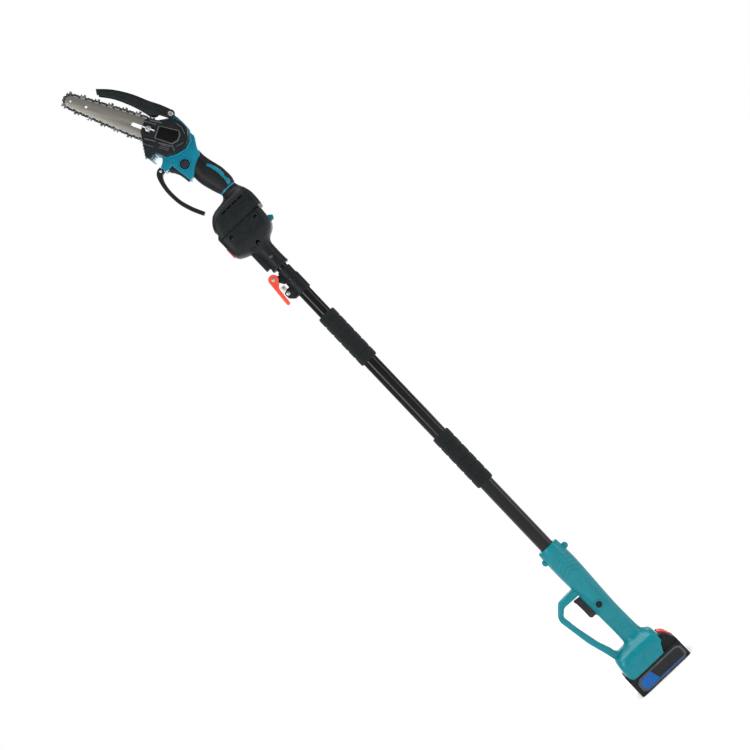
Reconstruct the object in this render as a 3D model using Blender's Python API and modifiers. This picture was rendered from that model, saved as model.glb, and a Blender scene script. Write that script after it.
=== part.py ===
"""Telescoping pole saw: battery handle, two-stage pole with a lever clamp, battery-shaped head, small chain saw.

The pole stands along +Z on the flat of its battery, with the origin where the pole's axis meets that flat.
-X is the trigger side of both handles, and -Y the side with the lock buttons and the sprocket cover.
All sizes below are millimetres; add_part turns them into metres.
"""

from math import acos, atan2, ceil, cos, hypot, pi, radians, sin, tan

import bmesh
import bpy
from mathutils import Matrix, Vector

MM = 0.001
GAP = 0.3  # clearance between pieces that touch on the real object
WALL = 2.6  # moulded casing wall
ROD_PHASE = 0.11  # turns a rod's corners off the planes where other shapes have theirs

# Pole
POLE_TRAVEL = 430
LOWER_TUBE_R, UPPER_TUBE_R, INNER_TUBE_R, TUBE_WALL = 14, 12.5, 11, 1.2
LOWER_TUBE_Z = (238, 845)
UPPER_TUBE_Z = (790, 990)
INNER_TUBE_Z = (340, 1060)
GRIP_R = 18
LOWER_GRIP_Z = (472, 593)
UPPER_GRIP_Z = (779, 895)
COLLAR_Z, COLLAR_STEP_Z = (952, 1008), 987
HANDLE_RIM_Z = 311
SOCKET_Z = (1014, 1064)

# Saw: its own drawing is made from the battery plane of its dock, and stands this far from the pole's origin.
SAW_X, SAW_Z = -7, 1091
BAR_LEAN = radians(26.3)
SPROCKET_AT = (18.5, 235)
GEAR_MODULE, GEAR_TEETH, PINION_TEETH = 1.0, 36, 12
GEAR_SPACING = GEAR_MODULE * (GEAR_TEETH + PINION_TEETH) / 2
MOTOR_ANGLE = radians(-56)
MOTOR_AT = (
    SPROCKET_AT[0] + GEAR_SPACING * cos(MOTOR_ANGLE),
    SPROCKET_AT[1] + GEAR_SPACING * sin(MOTOR_ANGLE),
)
STUD_ALONG, BAR_NOSE_ALONG, BAR_NOSE_R = 32, 186, 10.3
GUARD_PIVOT_AT = (52.5, 257)

FINISHES = {
    "teal_plastic": ((0.0, 0.21, 0.28), 0.35, 0),
    "black_plastic": ((0.014, 0.018, 0.02), 0.45, 0),
    "black_rubber": ((0.012, 0.014, 0.015), 0.7, 0),
    "foam": ((0.012, 0.016, 0.016), 0.9, 0),
    "tube_paint": ((0.008, 0.008, 0.01), 0.15, 0),
    "red_plastic": ((0.75, 0.05, 0.03), 0.35, 0),
    "steel": ((0.55, 0.55, 0.53), 0.3, 1),
    "bar_steel": ((0.27, 0.26, 0.21), 0.4, 1),
    "dark_steel": ((0.06, 0.06, 0.07), 0.4, 1),
    "copper": ((0.7, 0.33, 0.16), 0.35, 1),
    "cell_wrap": ((0.05, 0.25, 0.45), 0.4, 0),
}

for leftover in list(bpy.data.objects):
    bpy.data.objects.remove(leftover)

parts = bpy.data.collections.new("telescoping_pole_saw")
tools = bpy.data.collections.new("cutters")
for group in (parts, tools):
    bpy.context.scene.collection.children.link(group)


def make_finish(name):
    colour, roughness, metallic = FINISHES[name]
    finish = bpy.data.materials.new(name)
    finish.use_nodes = True
    shader = finish.node_tree.nodes["Principled BSDF"]
    shader.inputs["Base Color"].default_value = (*colour, 1)
    shader.inputs["Roughness"].default_value = roughness
    shader.inputs["Metallic"].default_value = metallic
    return finish


finishes = {name: make_finish(name) for name in FINISHES}


# ---- shapes -----------------------------------------------------------------------------------------------


def add_part(name, mesh, finish=None, pivot=None):
    """An object from a mesh drawn in millimetres in the pole's frame, with its origin at pivot.

    Without a finish it is a tool for a Boolean, out of the render. Without a pivot, what is up at the head gets
    its origin up there too, as its points are kept more exactly that way.
    """
    if pivot is None:
        heights = [vertex.co.z for vertex in mesh.vertices]
        pivot = (0, 0, SAW_Z if min(heights) + max(heights) > 2 * COLLAR_Z[0] else 0)
    mesh.transform(Matrix.Scale(MM, 4) @ Matrix.Translation(-Vector(pivot)))
    obj = bpy.data.objects.new(name, mesh)
    obj.location = Vector(pivot) * MM
    if finish:
        obj.data.materials.append(finishes[finish])
        parts.objects.link(obj)
    else:
        obj.hide_render = True
        obj.display_type = "WIRE"
        tools.objects.link(obj)
    obj.data.shade_smooth()
    obj.data.set_sharp_from_angle(angle=radians(35))
    return obj


def box(name, low, high, finish=None, bevel=0, pivot=None):
    work = bmesh.new()
    bmesh.ops.create_cube(work, size=1)
    size = [b - a for a, b in zip(low, high)]
    bmesh.ops.scale(work, vec=size, verts=work.verts)
    bmesh.ops.translate(work, vec=[(a + b) / 2 for a, b in zip(low, high)], verts=work.verts)
    if bevel:
        bmesh.ops.bevel(work, geom=work.edges[:], offset=bevel, segments=1, profile=0.5, affect="EDGES")
    mesh = bpy.data.meshes.new(name)
    work.to_mesh(mesh)
    work.free()
    return add_part(name, mesh, finish, pivot)


def rod(name, start, axis, length, radius, finish=None, pivot=None, sides=20):
    """A cylinder from its start along axis, which is "X", "Y" or "Z"."""
    work = bmesh.new()
    bmesh.ops.create_cone(work, cap_ends=True, segments=sides, radius1=radius, radius2=radius, depth=length)
    bmesh.ops.rotate(work, matrix=Matrix.Rotation(ROD_PHASE, 3, "Z"), verts=work.verts)
    turn = {"X": (pi / 2, "Y"), "Y": (-pi / 2, "X"), "Z": (0, "Z")}[axis]
    along = {"X": (1, 0, 0), "Y": (0, 1, 0), "Z": (0, 0, 1)}[axis]
    bmesh.ops.rotate(work, matrix=Matrix.Rotation(turn[0], 3, turn[1]), verts=work.verts)
    bmesh.ops.translate(work, vec=Vector(start) + Vector(along) * length / 2, verts=work.verts)
    mesh = bpy.data.meshes.new(name)
    work.to_mesh(mesh)
    work.free()
    return add_part(name, mesh, finish, pivot)


def turned(name, profile, finish=None, centre=(0, 0), along_y=False, sides=28, pivot=None):
    """A closed (radius, height) profile turned about Z, or about a line along Y through centre (x, z)."""
    mesh = bpy.data.meshes.new(name)
    points = [(radius, 0, height) for radius, height in profile]
    edges = [(i, (i + 1) % len(points)) for i in range(len(points))]
    mesh.from_pydata([[c * MM for c in point] for point in points], edges, [])
    obj = bpy.data.objects.new(name, mesh)
    (parts if finish else tools).objects.link(obj)
    screw = obj.modifiers.new("turn", "SCREW")
    screw.steps = screw.render_steps = sides
    screw.use_merge_vertices = True
    screw.merge_threshold = 0.0001
    bpy.context.view_layer.update()
    whole = bpy.data.meshes.new_from_object(obj.evaluated_get(bpy.context.evaluated_depsgraph_get()))
    bpy.data.objects.remove(obj)
    whole.transform(Matrix.Scale(1 / MM, 4))
    if along_y:
        # Height z becomes y, and the profile's top points to +Y.
        whole.transform(Matrix.Translation((centre[0], 0, centre[1])) @ Matrix.Rotation(-pi / 2, 4, "X"))
    whole.name = name
    return add_part(name, whole, finish, pivot)


def arc(centre, radius, start, end, steps):
    """Points on an arc; the angles are degrees from +X towards +Z."""
    turns = [radians(start + (end - start) * i / steps) for i in range(steps + 1)]
    return [(centre[0] + radius * cos(t), centre[1] + radius * sin(t)) for t in turns]


def rounded(corners, step=25):
    """The outline through corners (x, z) or (x, z, radius), with an arc at each corner that has a radius."""
    outline = []
    for i, corner in enumerate(corners):
        here = Vector(corner[:2])
        if len(corner) == 2:
            outline.append(tuple(here))
            continue
        back = (Vector(corners[i - 1][:2]) - here).normalized()
        on = (Vector(corners[(i + 1) % len(corners)][:2]) - here).normalized()
        opening = acos(max(-1, min(1, back.dot(on))))
        inset = corner[2] / tan(opening / 2)
        first, last = here + back * inset, here + on * inset
        centre = here + (back + on).normalized() * corner[2] / sin(opening / 2)
        start = atan2(*reversed(first - centre))
        turn = (atan2(*reversed(last - centre)) - start + pi) % (2 * pi) - pi
        steps = max(1, ceil(abs(turn) / radians(step)))
        for k in range(steps + 1):
            angle = start + turn * k / steps
            outline.append((centre[0] + corner[2] * cos(angle), centre[1] + corner[2] * sin(angle)))
    return outline


def plate(name, outline, low_y, high_y, finish=None, holes=(), pivot=None):
    """A flat outline in XZ, thick from low_y to high_y, with other outlines cut out of it as holes."""
    curve = bpy.data.curves.new(name, "CURVE")
    curve.dimensions = "2D"
    curve.fill_mode = "BOTH"
    curve.extrude = (high_y - low_y) / 2 * MM
    for loop in (outline, *holes):
        spline = curve.splines.new("POLY")
        spline.points.add(len(loop) - 1)
        spline.use_cyclic_u = True
        for point, (x, z) in zip(spline.points, loop):
            point.co = (x * MM, z * MM, 0, 1)
    drawn = bpy.data.objects.new(name, curve)
    tools.objects.link(drawn)
    bpy.context.view_layer.update()
    mesh = bpy.data.meshes.new_from_object(drawn.evaluated_get(bpy.context.evaluated_depsgraph_get()))
    bpy.data.objects.remove(drawn)
    work = bmesh.new()
    work.from_mesh(mesh)
    bmesh.ops.remove_doubles(work, verts=work.verts, dist=1e-6)
    bmesh.ops.recalc_face_normals(work, faces=work.faces)
    work.to_mesh(mesh)
    work.free()
    mesh.transform(Matrix.Scale(1 / MM, 4))
    mesh.transform(Matrix.Translation((0, (low_y + high_y) / 2, 0)) @ Matrix.Rotation(pi / 2, 4, "X"))
    return add_part(name, mesh, finish, pivot)


def loft(name, sections, finish=None, around=24, pivot=None):
    """A body through level sections (z, front x, back x, half width, squareness); squareness 2 is an ellipse."""
    work = bmesh.new()
    rings = []
    for z, front, back, half, squareness in sections:
        ring = []
        for i in range(around):
            turn = 2 * pi * i / around
            across, deep = cos(turn), sin(turn)
            x = abs(across) ** (2 / squareness) * (1 if across > 0 else -1)
            y = abs(deep) ** (2 / squareness) * (1 if deep > 0 else -1)
            ring.append(work.verts.new(((front + back) / 2 + x * (back - front) / 2, y * half, z)))
        rings.append(ring)
    for low, high in zip(rings, rings[1:]):
        for i in range(around):
            k = (i + 1) % around
            work.faces.new((low[i], low[k], high[k], high[i]))
    bmesh.ops.triangulate(work, faces=work.faces[:])  # a Boolean needs flat faces
    work.faces.new(rings[0])
    work.faces.new(rings[-1])
    bmesh.ops.recalc_face_normals(work, faces=work.faces)
    mesh = bpy.data.meshes.new(name)
    work.to_mesh(mesh)
    work.free()
    return add_part(name, mesh, finish, pivot)


def coil(name, start, axis, length, radius, wire, turns, finish, sides_step=1):
    """A round wire wound from start along axis "X", "Y" or "Z"; sides_step is its curve's bevel resolution."""
    curve = bpy.data.curves.new(name, "CURVE")
    curve.dimensions = "3D"
    curve.bevel_depth = wire / 2 * MM
    curve.bevel_resolution = sides_step
    curve.use_fill_caps = True
    spline = curve.splines.new("POLY")
    per_turn = 8
    count = turns * per_turn
    spline.points.add(count)
    for i, point in enumerate(spline.points):
        a, b = radius * cos(2 * pi * i / per_turn), radius * sin(2 * pi * i / per_turn)
        h = wire / 2 + (length - wire) * i / count
        shift = {"X": (h, a, b), "Y": (a, h, b), "Z": (a, b, h)}[axis]
        point.co = (*(s * MM for s in shift), 1)
    obj = bpy.data.objects.new(name, curve)
    obj.location = Vector(start) * MM
    curve.materials.append(finishes[finish])
    parts.objects.link(obj)
    return obj


def combine(obj, operation, others):
    for other in others:
        step = obj.modifiers.new(other.name, "BOOLEAN")
        step.operation = operation
        step.object = other
        step.solver = "EXACT"
    return obj


def cut(obj, *others):
    return combine(obj, "DIFFERENCE", others)


def join(obj, *others):
    return combine(obj, "UNION", others)


def saw(x, z, *radius):
    """A point of the saw's own drawing in the pole's frame; a corner radius passes through."""
    return (x + SAW_X, z + SAW_Z, *radius)


def saw_outline(corners, step=25):
    return rounded([saw(*corner) for corner in corners], step)


def circle(centre, radius, steps=16):
    return arc(centre, radius, 0, 360 * (1 - 1 / steps), steps - 1)


SIDES = {"left": -1, "right": 1}
half_spaces = {
    "left": box("clear_right", (-200, -GAP / 2, -50), (200, 200, 1600)),
    "right": box("clear_left", (-200, -200, -50), (200, GAP / 2, 1600)),
}


# ---- battery ----------------------------------------------------------------------------------------------

BATTERY_X = (-61, 56)
CASE_HALF, PANEL_HALF, RAIL_HALF = 35, 37, 26
LID_Z = 30.3
panel_outline = rounded([(-52, 8), (-45, 2), (45, 2), (52, 8), (52, 24), (44, 29.5), (-44, 29.5), (-52, 23)])

lower_case = box("battery_lower_case", (BATTERY_X[0], -CASE_HALF, 0), (BATTERY_X[1], CASE_HALF, LID_Z - GAP),
                 "black_plastic", bevel=2.5)
join(lower_case, plate("label_panels", panel_outline, -PANEL_HALF, PANEL_HALF))
cut(lower_case, box("battery_hollow", (-58.5, -33, 2.5), (53.5, 33, 40)))

cell_pack = box("battery_cells", (-52, -29, 9), (47, -26, 19), "cell_wrap")
join(cell_pack, box("cell_holder_far", (-52, 26, 9), (47, 29, 19)))
for k in range(5):
    join(cell_pack, rod(f"cell_{k}", (-41.5 + 19.5 * k, -32.5, 13), "Y", 65, 9, sides=16))

upper_case = box("battery_upper_case", (BATTERY_X[0], -34, LID_Z), (BATTERY_X[1], 34, 33.6), "black_plastic")
join(
    upper_case,
    box("slide_rail", (-49.5, -RAIL_HALF, 33), (30, RAIL_HALF, 49)),
    box("front_lip", (BATTERY_X[0], -28, 32), (-58.3, 28, 46)),
    plate(
        "latch_housing",
        rounded([(21.6, 32), (21.6, 34), (29.4, 49.2), (37, 54), (37, 62), (40, 62.5, 2), (47, 56.5), (54, 42),
                 (BATTERY_X[1], 37), (BATTERY_X[1], 32)]),
        -30, 30,
    ),
)
BUTTON_TRAVEL = 3
button_outline = [(38.5, 50), (38.5, 65.5), (41, 65.5), (49, 58.5), (54.2, 47.5), (50, 46.5), (47, 50)]
pocket_outline = [(38.1, 46), (38.1, 68), (56, 68), (60, 44), (54.8, 44), (50.2, 42.6), (47, 46)]
cut(
    upper_case,
    plate("latch_pocket", pocket_outline, -15.3, 15.3),
    rod("latch_spring_well", (43, 0, 36), "Z", 12, 3.6),
    box("blade_slot_left", (-65, -9.8, 40), (1, -7.2, 52)),
    box("blade_slot_right", (-65, 7.2, 40), (1, 9.8, 52)),
)
plate("battery_latch_button", button_outline, -15, 15, "red_plastic", pivot=(43, 0, 50))
coil("battery_latch_spring", (43, 0, 36.3), "Z", 13.2, 2.6, 0.8, 4, "steel")


# ---- handle -----------------------------------------------------------------------------------------------

BATTERY_CUT = rounded([(20.9, 20), (20.9, 34), (28.8, 49.7), (36.1, 54.3), (80, 54.3), (80, 20)])
handle_sections = [
    (34, -55, 36, 35.5, 6), (48, -57.6, 36.5, 36, 6), (69, -55.5, 36.5, 35, 5), (76, -53, 35, 32, 4),
    (81.5, -38, 30, 26, 3), (85, -20, 24, 21, 2.4), (92, -18.5, 22, 18.5, 2.2), (110, -18, 21, 18, 2.2),
    (160, -19.5, 20.5, 19, 2.2), (225, -21.5, 22.5, 20.5, 2.1), (262, -22.8, 24.2, 21.5, 2),
    (300, -22.5, 22.5, 22, 2), (HANDLE_RIM_Z, -21.5, 21.5, 21.5, 2),
]
hollow_sections = [
    (52, -53.5, 33, 32, 6), (69, -52, 33, 31.5, 5), (74, -50, 31.5, 29, 4), (79, -33, 26, 22, 3),
    (84, -17, 20.5, 17, 2.4), (110, -15, 18, 15, 2.2), (160, -16.5, 17.5, 16, 2.2), (234, -18.5, 19, 17, 2.1),
]
guard_outer = rounded([(-12, 225), (-56, 223, 14), (-78, 199, 16), (-66.8, 133), (-56, 97), (-51.5, 78), (-45, 70),
                       (-12, 78)])
guard_window = rounded([(-22, 208), (-54, 209, 8), (-66, 198, 8), (-61.6, 167), (-56.8, 141), (-51.4, 122),
                        (-43, 100), (-38.7, 84, 3), (-16, 86), (-15, 110), (-16, 150), (-22, 159)])
lower_tube_clear = LOWER_TUBE_R + GAP
handle_tools = [
    loft("handle_hollow", hollow_sections),
    rod("tube_seat", (0, 0, LOWER_TUBE_Z[0] - 5), "Z", 100, lower_tube_clear, sides=28),
    box("battery_slot", (-53, -28.5, 20), (90, 28.5, 52.5)),
    box("battery_lip_way", (-70, -28.5, 20), (-50, 28.5, 46.5)),
    plate("battery_back_gap", BATTERY_CUT, -60, 60),
    box("trigger_slot", (-30, -7.4, 159.5), (-8, 7.4, 208.5)),
    rod("lock_button_hole", (-3.5, -30, 173.5), "Y", 30, 5.6),
]
screw_places = {"upper": (4, 225), "lower": (8, 96)}
for place, (x, z) in screw_places.items():
    handle_tools.append(rod(f"casing_screw_well_{place}", (x, 13, z), "Y", 30, 4.3, sides=12))
    handle_tools.append(rod(f"casing_screw_hole_{place}", (x, -13, z), "Y", 40, 1.9, sides=12))
handle_bosses = [
    rod(f"casing_screw_boss_{place}", (x, -17.7, z), "Y", 35.4, 5.6, sides=12)
    for place, (x, z) in screw_places.items()
]
handle_guard = plate("finger_guard", guard_outer, -9, 9, holes=[guard_window])
ears = [rod(f"ear_{i}", (x, -5, 291), "Y", 10, 6.3) for i, x in enumerate((-22.8, 25))]

for side in SIDES:
    shell = loft(f"handle_shell_{side}", handle_sections, "teal_plastic")
    join(shell, handle_guard, *ears)
    cut(shell, handle_tools[0])
    join(shell, *handle_bosses)
    cut(shell, *handle_tools[1:], half_spaces[side])

for place, (x, z) in screw_places.items():
    screw_head = rod(f"handle_screw_{place}", (x, 13.3, z), "Y", 3, 3.5, "steel", sides=12)
    join(screw_head, rod(f"screw_shank_{place}", (x, -11, z), "Y", 25, 1.5, sides=10))

TRIGGER_TRAVEL = 5
trigger_outline = rounded([(-14, 204), (-35.5, 206, 1.5), (-33, 200, 3), (-32.2, 165, 3), (-28.5, 161.5, 1.5),
                           (-14, 161.5)])
trigger = plate("handle_trigger", trigger_outline, -7, 7, "black_plastic", pivot=(-22, 0, 183))
cut(trigger, rod("trigger_spring_well", (-20, 0, 183), "X", 8, 3.6, sides=12))
coil("handle_trigger_spring", (-19.7, 0, 183), "X", 14.4, 2.6, 0.7, 4, "steel")
box("handle_switch", (-5, -6, 178), (9, 8, 202), "black_plastic", bevel=0.6)
lock_button = rod("handle_lock_button", (-3.5, -21.2, 173.5), "Y", 13, 5.2, "black_plastic", pivot=(-3.5, 0, 173.5))
join(lock_button, rod("lock_button_flange", (-3.5, -13, 173.5), "Y", 2, 6.8))

contact_block = box("handle_contact_block", (-34, -14, 53), (6, 14, 60), "black_plastic", bevel=0.6)
join(
    contact_block,
    box("contact_blade_left", (-26, -8.9, 42), (-3, -8.1, 54)),
    box("contact_blade_right", (-26, 8.1, 42), (-3, 8.9, 54)),
)


# ---- pole -------------------------------------------------------------------------------------------------


def tube(name, radius, ends, finish, wall=TUBE_WALL):
    low, high = ends
    return turned(name, [(radius, high), (radius, low), (radius - wall, low), (radius - wall, high)], finish)


tube("lower_tube", LOWER_TUBE_R, LOWER_TUBE_Z, "tube_paint")
tube("upper_tube", UPPER_TUBE_R, UPPER_TUBE_Z, "tube_paint")
inner_tube = tube("inner_tube", INNER_TUBE_R, INNER_TUBE_Z, "tube_paint")
tube("inner_tube_bush", INNER_TUBE_R + GAP + 1.2, (INNER_TUBE_Z[0], INNER_TUBE_Z[0] + 16), "black_plastic")


def foam_grip(name, ends, bore):
    """bore is a list of (radius, height) up the inside."""
    low, high = ends
    outside = [(GRIP_R - 2.5, high), (GRIP_R - 0.8, high - 1), (GRIP_R, high - 4), (GRIP_R, low + 4),
               (GRIP_R - 0.8, low + 1), (GRIP_R - 2.5, low)]
    return turned(name, outside + bore, "foam")


wide, narrow = LOWER_TUBE_R + GAP, UPPER_TUBE_R + GAP
foam_grip("grip_lower", LOWER_GRIP_Z, [(wide, LOWER_GRIP_Z[0]), (wide, LOWER_GRIP_Z[1])])
step_z = LOWER_TUBE_Z[1] + 2
foam_grip("grip_upper", UPPER_GRIP_Z,
          [(wide, UPPER_GRIP_Z[0]), (wide, step_z), (narrow, step_z), (narrow, UPPER_GRIP_Z[1])])

coil("coiled_lead", (0, 0, 240), "Z", 818, 6, 4.5, 26, "black_rubber", sides_step=0)

bottom, top = COLLAR_Z
collar = turned(
    "clamp_collar",
    [(13, top), (13.8, top - 1), (13.8, COLLAR_STEP_Z + 1), (15.5, COLLAR_STEP_Z), (15.5, bottom + 1.5),
     (14.5, bottom), (narrow, bottom), (narrow, UPPER_TUBE_Z[1] + GAP), (INNER_TUBE_R + GAP, UPPER_TUBE_Z[1] + GAP),
     (INNER_TUBE_R + GAP, top)],
    "black_plastic",
)
LEVER_PIVOT, CLAMP_SCREW_AT = (-27, 1005), (-24, 968)
upper_lug = rounded([(-12.7, 985.6), (-17.5, 985.6), (-24, 996), (-31.5, 1003, 4), (-27, 1011, 5), (-21, 1008, 3),
                     (-12.7, 1004)])
lower_lug = rounded([(-13, 976), (-20, 976), (-29.5, 973, 3), (-30, 962, 5), (-22, 955.5, 4), (-13, 954)])
join(
    collar,
    plate("upper_lug", upper_lug, -3.7, 3.7),
    plate("lower_lug", lower_lug, -8.5, 8.5),
)
cut(
    collar,
    box("collar_slit", (-40, -0.7, 940), (-11, 0.7, 1020)),
    box("collar_cross_slot", (-15, -20, 983), (2, -9, 985)),
    rod("lever_pin_hole", (LEVER_PIVOT[0], -12, LEVER_PIVOT[1]), "Y", 24, 2.3, sides=12),
    rod("clamp_screw_hole", (CLAMP_SCREW_AT[0], -12, CLAMP_SCREW_AT[1]), "Y", 24, 2.1, sides=12),
)
lever_outline = rounded([*arc(LEVER_PIVOT, 9.6, -60, 170, 16), (-40.3, 953.5, 3), (-33.4, 951.5, 3), (-30.4, 985, 8)])
lever = plate("clamp_lever", lever_outline, -8.5, 8.5, "red_plastic", pivot=(LEVER_PIVOT[0], 0, LEVER_PIVOT[1]))
cut(
    lever,
    rod("lever_fork", (LEVER_PIVOT[0], -4.1, LEVER_PIVOT[1]), "Y", 8.2, 12.5, sides=24),
    rod("lever_bore", (LEVER_PIVOT[0], -12, LEVER_PIVOT[1]), "Y", 24, 2.3, sides=12),
)
lever_pin = rod("lever_pin", (LEVER_PIVOT[0], -8.8, LEVER_PIVOT[1]), "Y", 17.6, 2, "steel", sides=12)
join(lever_pin, rod("lever_pin_head", (LEVER_PIVOT[0], -10.3, LEVER_PIVOT[1]), "Y", 1.5, 3.6, sides=12))
clamp_screw = rod("clamp_screw", (CLAMP_SCREW_AT[0], -10, CLAMP_SCREW_AT[1]), "Y", 18, 1.8, "steel", sides=12)
join(clamp_screw, rod("clamp_screw_head", (CLAMP_SCREW_AT[0], -11, CLAMP_SCREW_AT[1]), "Y", 2.2, 3.8, sides=12))
box("clamp_wear_plate", (-27.6, -6, 976.6), (-20, 6, 985.5), "steel", bevel=0.5)


# ---- head -------------------------------------------------------------------------------------------------

HEAD_RAIL_HALF, HEAD_RAIL_X, HEAD_RAIL_TOP = 26, (-36, 38), 1134
SEAM_Z = SAW_Z + 30
head_sections = [
    (SOCKET_Z[0], -17, 17, 17, 2), (1058, -17.5, 17.5, 17.5, 2), (1064, -22, 20, 19, 2.2), (1070, -34, 27, 24, 2.8),
    (1077, -46, 40, 30, 4), (1088, -50, 45, 33.5, 5), (1112, -50, 47, 34, 5), (SEAM_Z - 0.5, -49, 46, 33, 5),
]
head_hollow = [
    (1066, -16, 15, 15, 2.2), (1072, -29, 24, 21, 2.8), (1079, -42, 37, 27, 4), (1088, -46, 42, 30.5, 5),
    (1112, -46, 44, 31, 5), (SEAM_Z - 3.5, -45, 43, 30, 5),
]
latch_block = rounded([(-34, 1112), (-34, 1137, 2), (-38, 1137, 3), (-49.5, 1124, 3), (-49.5, 1112)])
head_solids = [
    box("head_rail", (HEAD_RAIL_X[0], -HEAD_RAIL_HALF, 1118), (HEAD_RAIL_X[1], HEAD_RAIL_HALF, HEAD_RAIL_TOP)),
    plate("head_latch_block", latch_block, -30, 30),
    box("socket_rib", (-24, -5, 1030), (-10, 5, 1068), bevel=0.8),
]
HEAD_BUTTON_Z = (1083, 1104)
SOCKET_SCREW_Z = {"upper": 1072, "lower": 1038.5}
head_tools = [
    rod("socket_bore", (0, 0, 1005), "Z", 55.5, INNER_TUBE_R + GAP, sides=28),
    rod("lead_way", (0, 0, 1055), "Z", 20, 8, sides=16),
    box("head_blade_slot_left", (-17, -9.8, 1126), (45, -7.2, 1140)),
    box("head_blade_slot_right", (-17, 7.2, 1126), (45, 9.8, 1140)),
    box("head_button_window", (-60, -12.3, HEAD_BUTTON_Z[0] - 0.3), (-40, 12.3, HEAD_BUTTON_Z[1] + 0.3)),
    box("pull_tab_slot", (38, -6.3, 1085), (60, 6.3, 1099)),
    rod("head_hole_front", (-29, -40, 1115), "Y", 12, 4, sides=16),
    rod("head_hole_back", (28.6, -40, 1107.6), "Y", 12, 4, sides=16),
]
for place, z in SOCKET_SCREW_Z.items():
    head_tools.append(rod(f"socket_screw_well_{place}", (0, -40, z), "Y", 25.5, 4.3, sides=16))
    head_tools.append(rod(f"socket_screw_hole_{place}", (0, -40, z), "Y", 54, 1.9, sides=12))
head_post = rod("head_screw_post", (0, -23, SOCKET_SCREW_Z["upper"]), "Y", 46, 6, sides=16)
head_cavity = loft("head_hollow", head_hollow)

for side in SIDES:
    shell = loft(f"head_shell_{side}", head_sections, "black_plastic")
    join(shell, *head_solids)
    cut(shell, head_cavity)
    join(shell, head_post)
    cut(shell, *head_tools, half_spaces[side])

for place, z in SOCKET_SCREW_Z.items():
    reach = 20 if place == "upper" else 6
    socket_screw = rod(f"socket_screw_{place}", (0, -17, z), "Y", 2.2, 3.6, "steel", sides=16)
    join(socket_screw, rod(f"socket_shank_{place}", (0, -15, z), "Y", reach, 1.5, sides=10))
cut(inner_tube, rod("tube_screw_hole", (0, -13, SOCKET_SCREW_Z["lower"]), "Y", 5, 1.9, sides=12))

HEAD_FLANGE_X = (-42.3, -40.2)
head_button = box("head_release_button", (-51.5, -12, HEAD_BUTTON_Z[0]), (-43, 12, HEAD_BUTTON_Z[1]),
                  "red_plastic", bevel=1, pivot=(-43, 0, 1093.5))
join(head_button,
     box("head_button_flange", (HEAD_FLANGE_X[0], -13.6, HEAD_BUTTON_Z[0] - 1),
         (HEAD_FLANGE_X[1], 13.6, HEAD_BUTTON_Z[1] + 1.5)),
     box("head_button_neck", (-44, -10, 1086), (-41, 10, 1101)))
coil("head_release_spring", (HEAD_FLANGE_X[1] + GAP, 0, 1093.5), "X", 11.7, 3.5, 0.8, 4, "steel")
head_block = box("head_contact_block", (-27.9, -14, 1098), (20, 14, 1116.5), "black_plastic", bevel=0.8)
plate("head_pull_tab", rounded([(40.5, 1085.6), (48, 1086.5), (51, 1086.5), (54.5, 1093, 1), (48.5, 1098.4, 1),
                                (40.5, 1098.4)]), -5.8, 5.8, "teal_plastic")


# ---- saw: dock, casing, grip ------------------------------------------------------------------------------


def saw_sections(rows):
    return [(z + SAW_Z, front + SAW_X, back + SAW_X, half, squareness) for z, front, back, half, squareness in rows]


dock = loft("saw_dock", saw_sections([
    (30, -42, 60, 35, 6), (50, -37, 62, 35, 6), (64, -31, 61, 33, 5), (75, -20, 58, 29, 4), (78.5, -4, 56, 23, 3.4),
    (84, 13, 53.5, 18, 2.8), (91, 18, 51.5, 16, 2.4)]), "black_plastic")
rail_clear = 0.6
cut(
    dock,
    loft("dock_hollow", saw_sections([
        (46, -33, 58, 31.5, 6), (62, -27, 57, 29.5, 5), (72, -16, 54, 26, 4), (76, 1, 52, 20, 3.4),
        (83, 17, 50, 14.8, 2.8), (93, 20.4, 49.5, 14.1, 2.4)])),
    box("dock_rail_way", (-70, -HEAD_RAIL_HALF - rail_clear, SEAM_Z - 5),
        (HEAD_RAIL_X[1] + rail_clear, HEAD_RAIL_HALF + rail_clear, SEAM_Z + 18)),
    box("dock_front_gap", (-70, -50, SEAM_Z - 5), (-33.4, 50, SEAM_Z + 17.5)),
    *(box(f"dock_vent_{k}", (*saw(-2 + 12.5 * k, 61)[:1], -50, SAW_Z + 60.5), (saw(7 + 12.5 * k, 0)[0], 50, SAW_Z + 63.5))
      for k in range(4)),
)

housing = saw_outline([
    (57.5, 250, 4), (45, 258, 4), (12, 279, 6), (-8, 268, 6), (-19, 255, 4), (-33.5, 233, 3), (-31, 222, 3),
    (-21, 224, 3), (-18, 230, 2), (-9, 209, 3), (9, 198, 5), (29, 193, 8), (46, 199, 8), (58, 216, 8), (58.5, 235, 8)])
trigger_case = saw_outline([
    (-20, 208), (-27.5, 204, 2), (-27.5, 192.5, 1.5), (-19, 191), (-11, 194.5, 2), (-4.5, 149, 1.5), (6, 151, 2),
    (14, 158), (41, 172, 6), (45, 183, 8), (54, 202, 4), (50, 220), (-5, 222)])
housing_hollow = saw_outline([
    (54.5, 247, 2), (44, 254, 2), (12, 274.5, 4), (-6, 264, 4), (-16, 253, 2), (-17, 240, 3), (-6, 212, 3),
    (10, 201, 3), (29, 195.6, 8), (44, 200, 8), (55, 216, 8), (55.8, 235, 8)])
trigger_hollow = saw_outline([
    (-8, 206), (-8, 193, 1), (-2, 154, 1), (5, 154, 1), (12, 160), (37, 172, 4), (42, 184, 6), (49, 201, 3),
    (45, 216), (-3, 218)])
HOUSING_Y, CASE_Y = (-22, 32), 16
stud_at = (SPROCKET_AT[0] - STUD_ALONG * sin(BAR_LEAN), SPROCKET_AT[1] + STUD_ALONG * cos(BAR_LEAN))
stud_x, stud_z = saw(*stud_at)
shaft_x, shaft_z = saw(*SPROCKET_AT)
motor_x, motor_z = saw(*MOTOR_AT)
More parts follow.
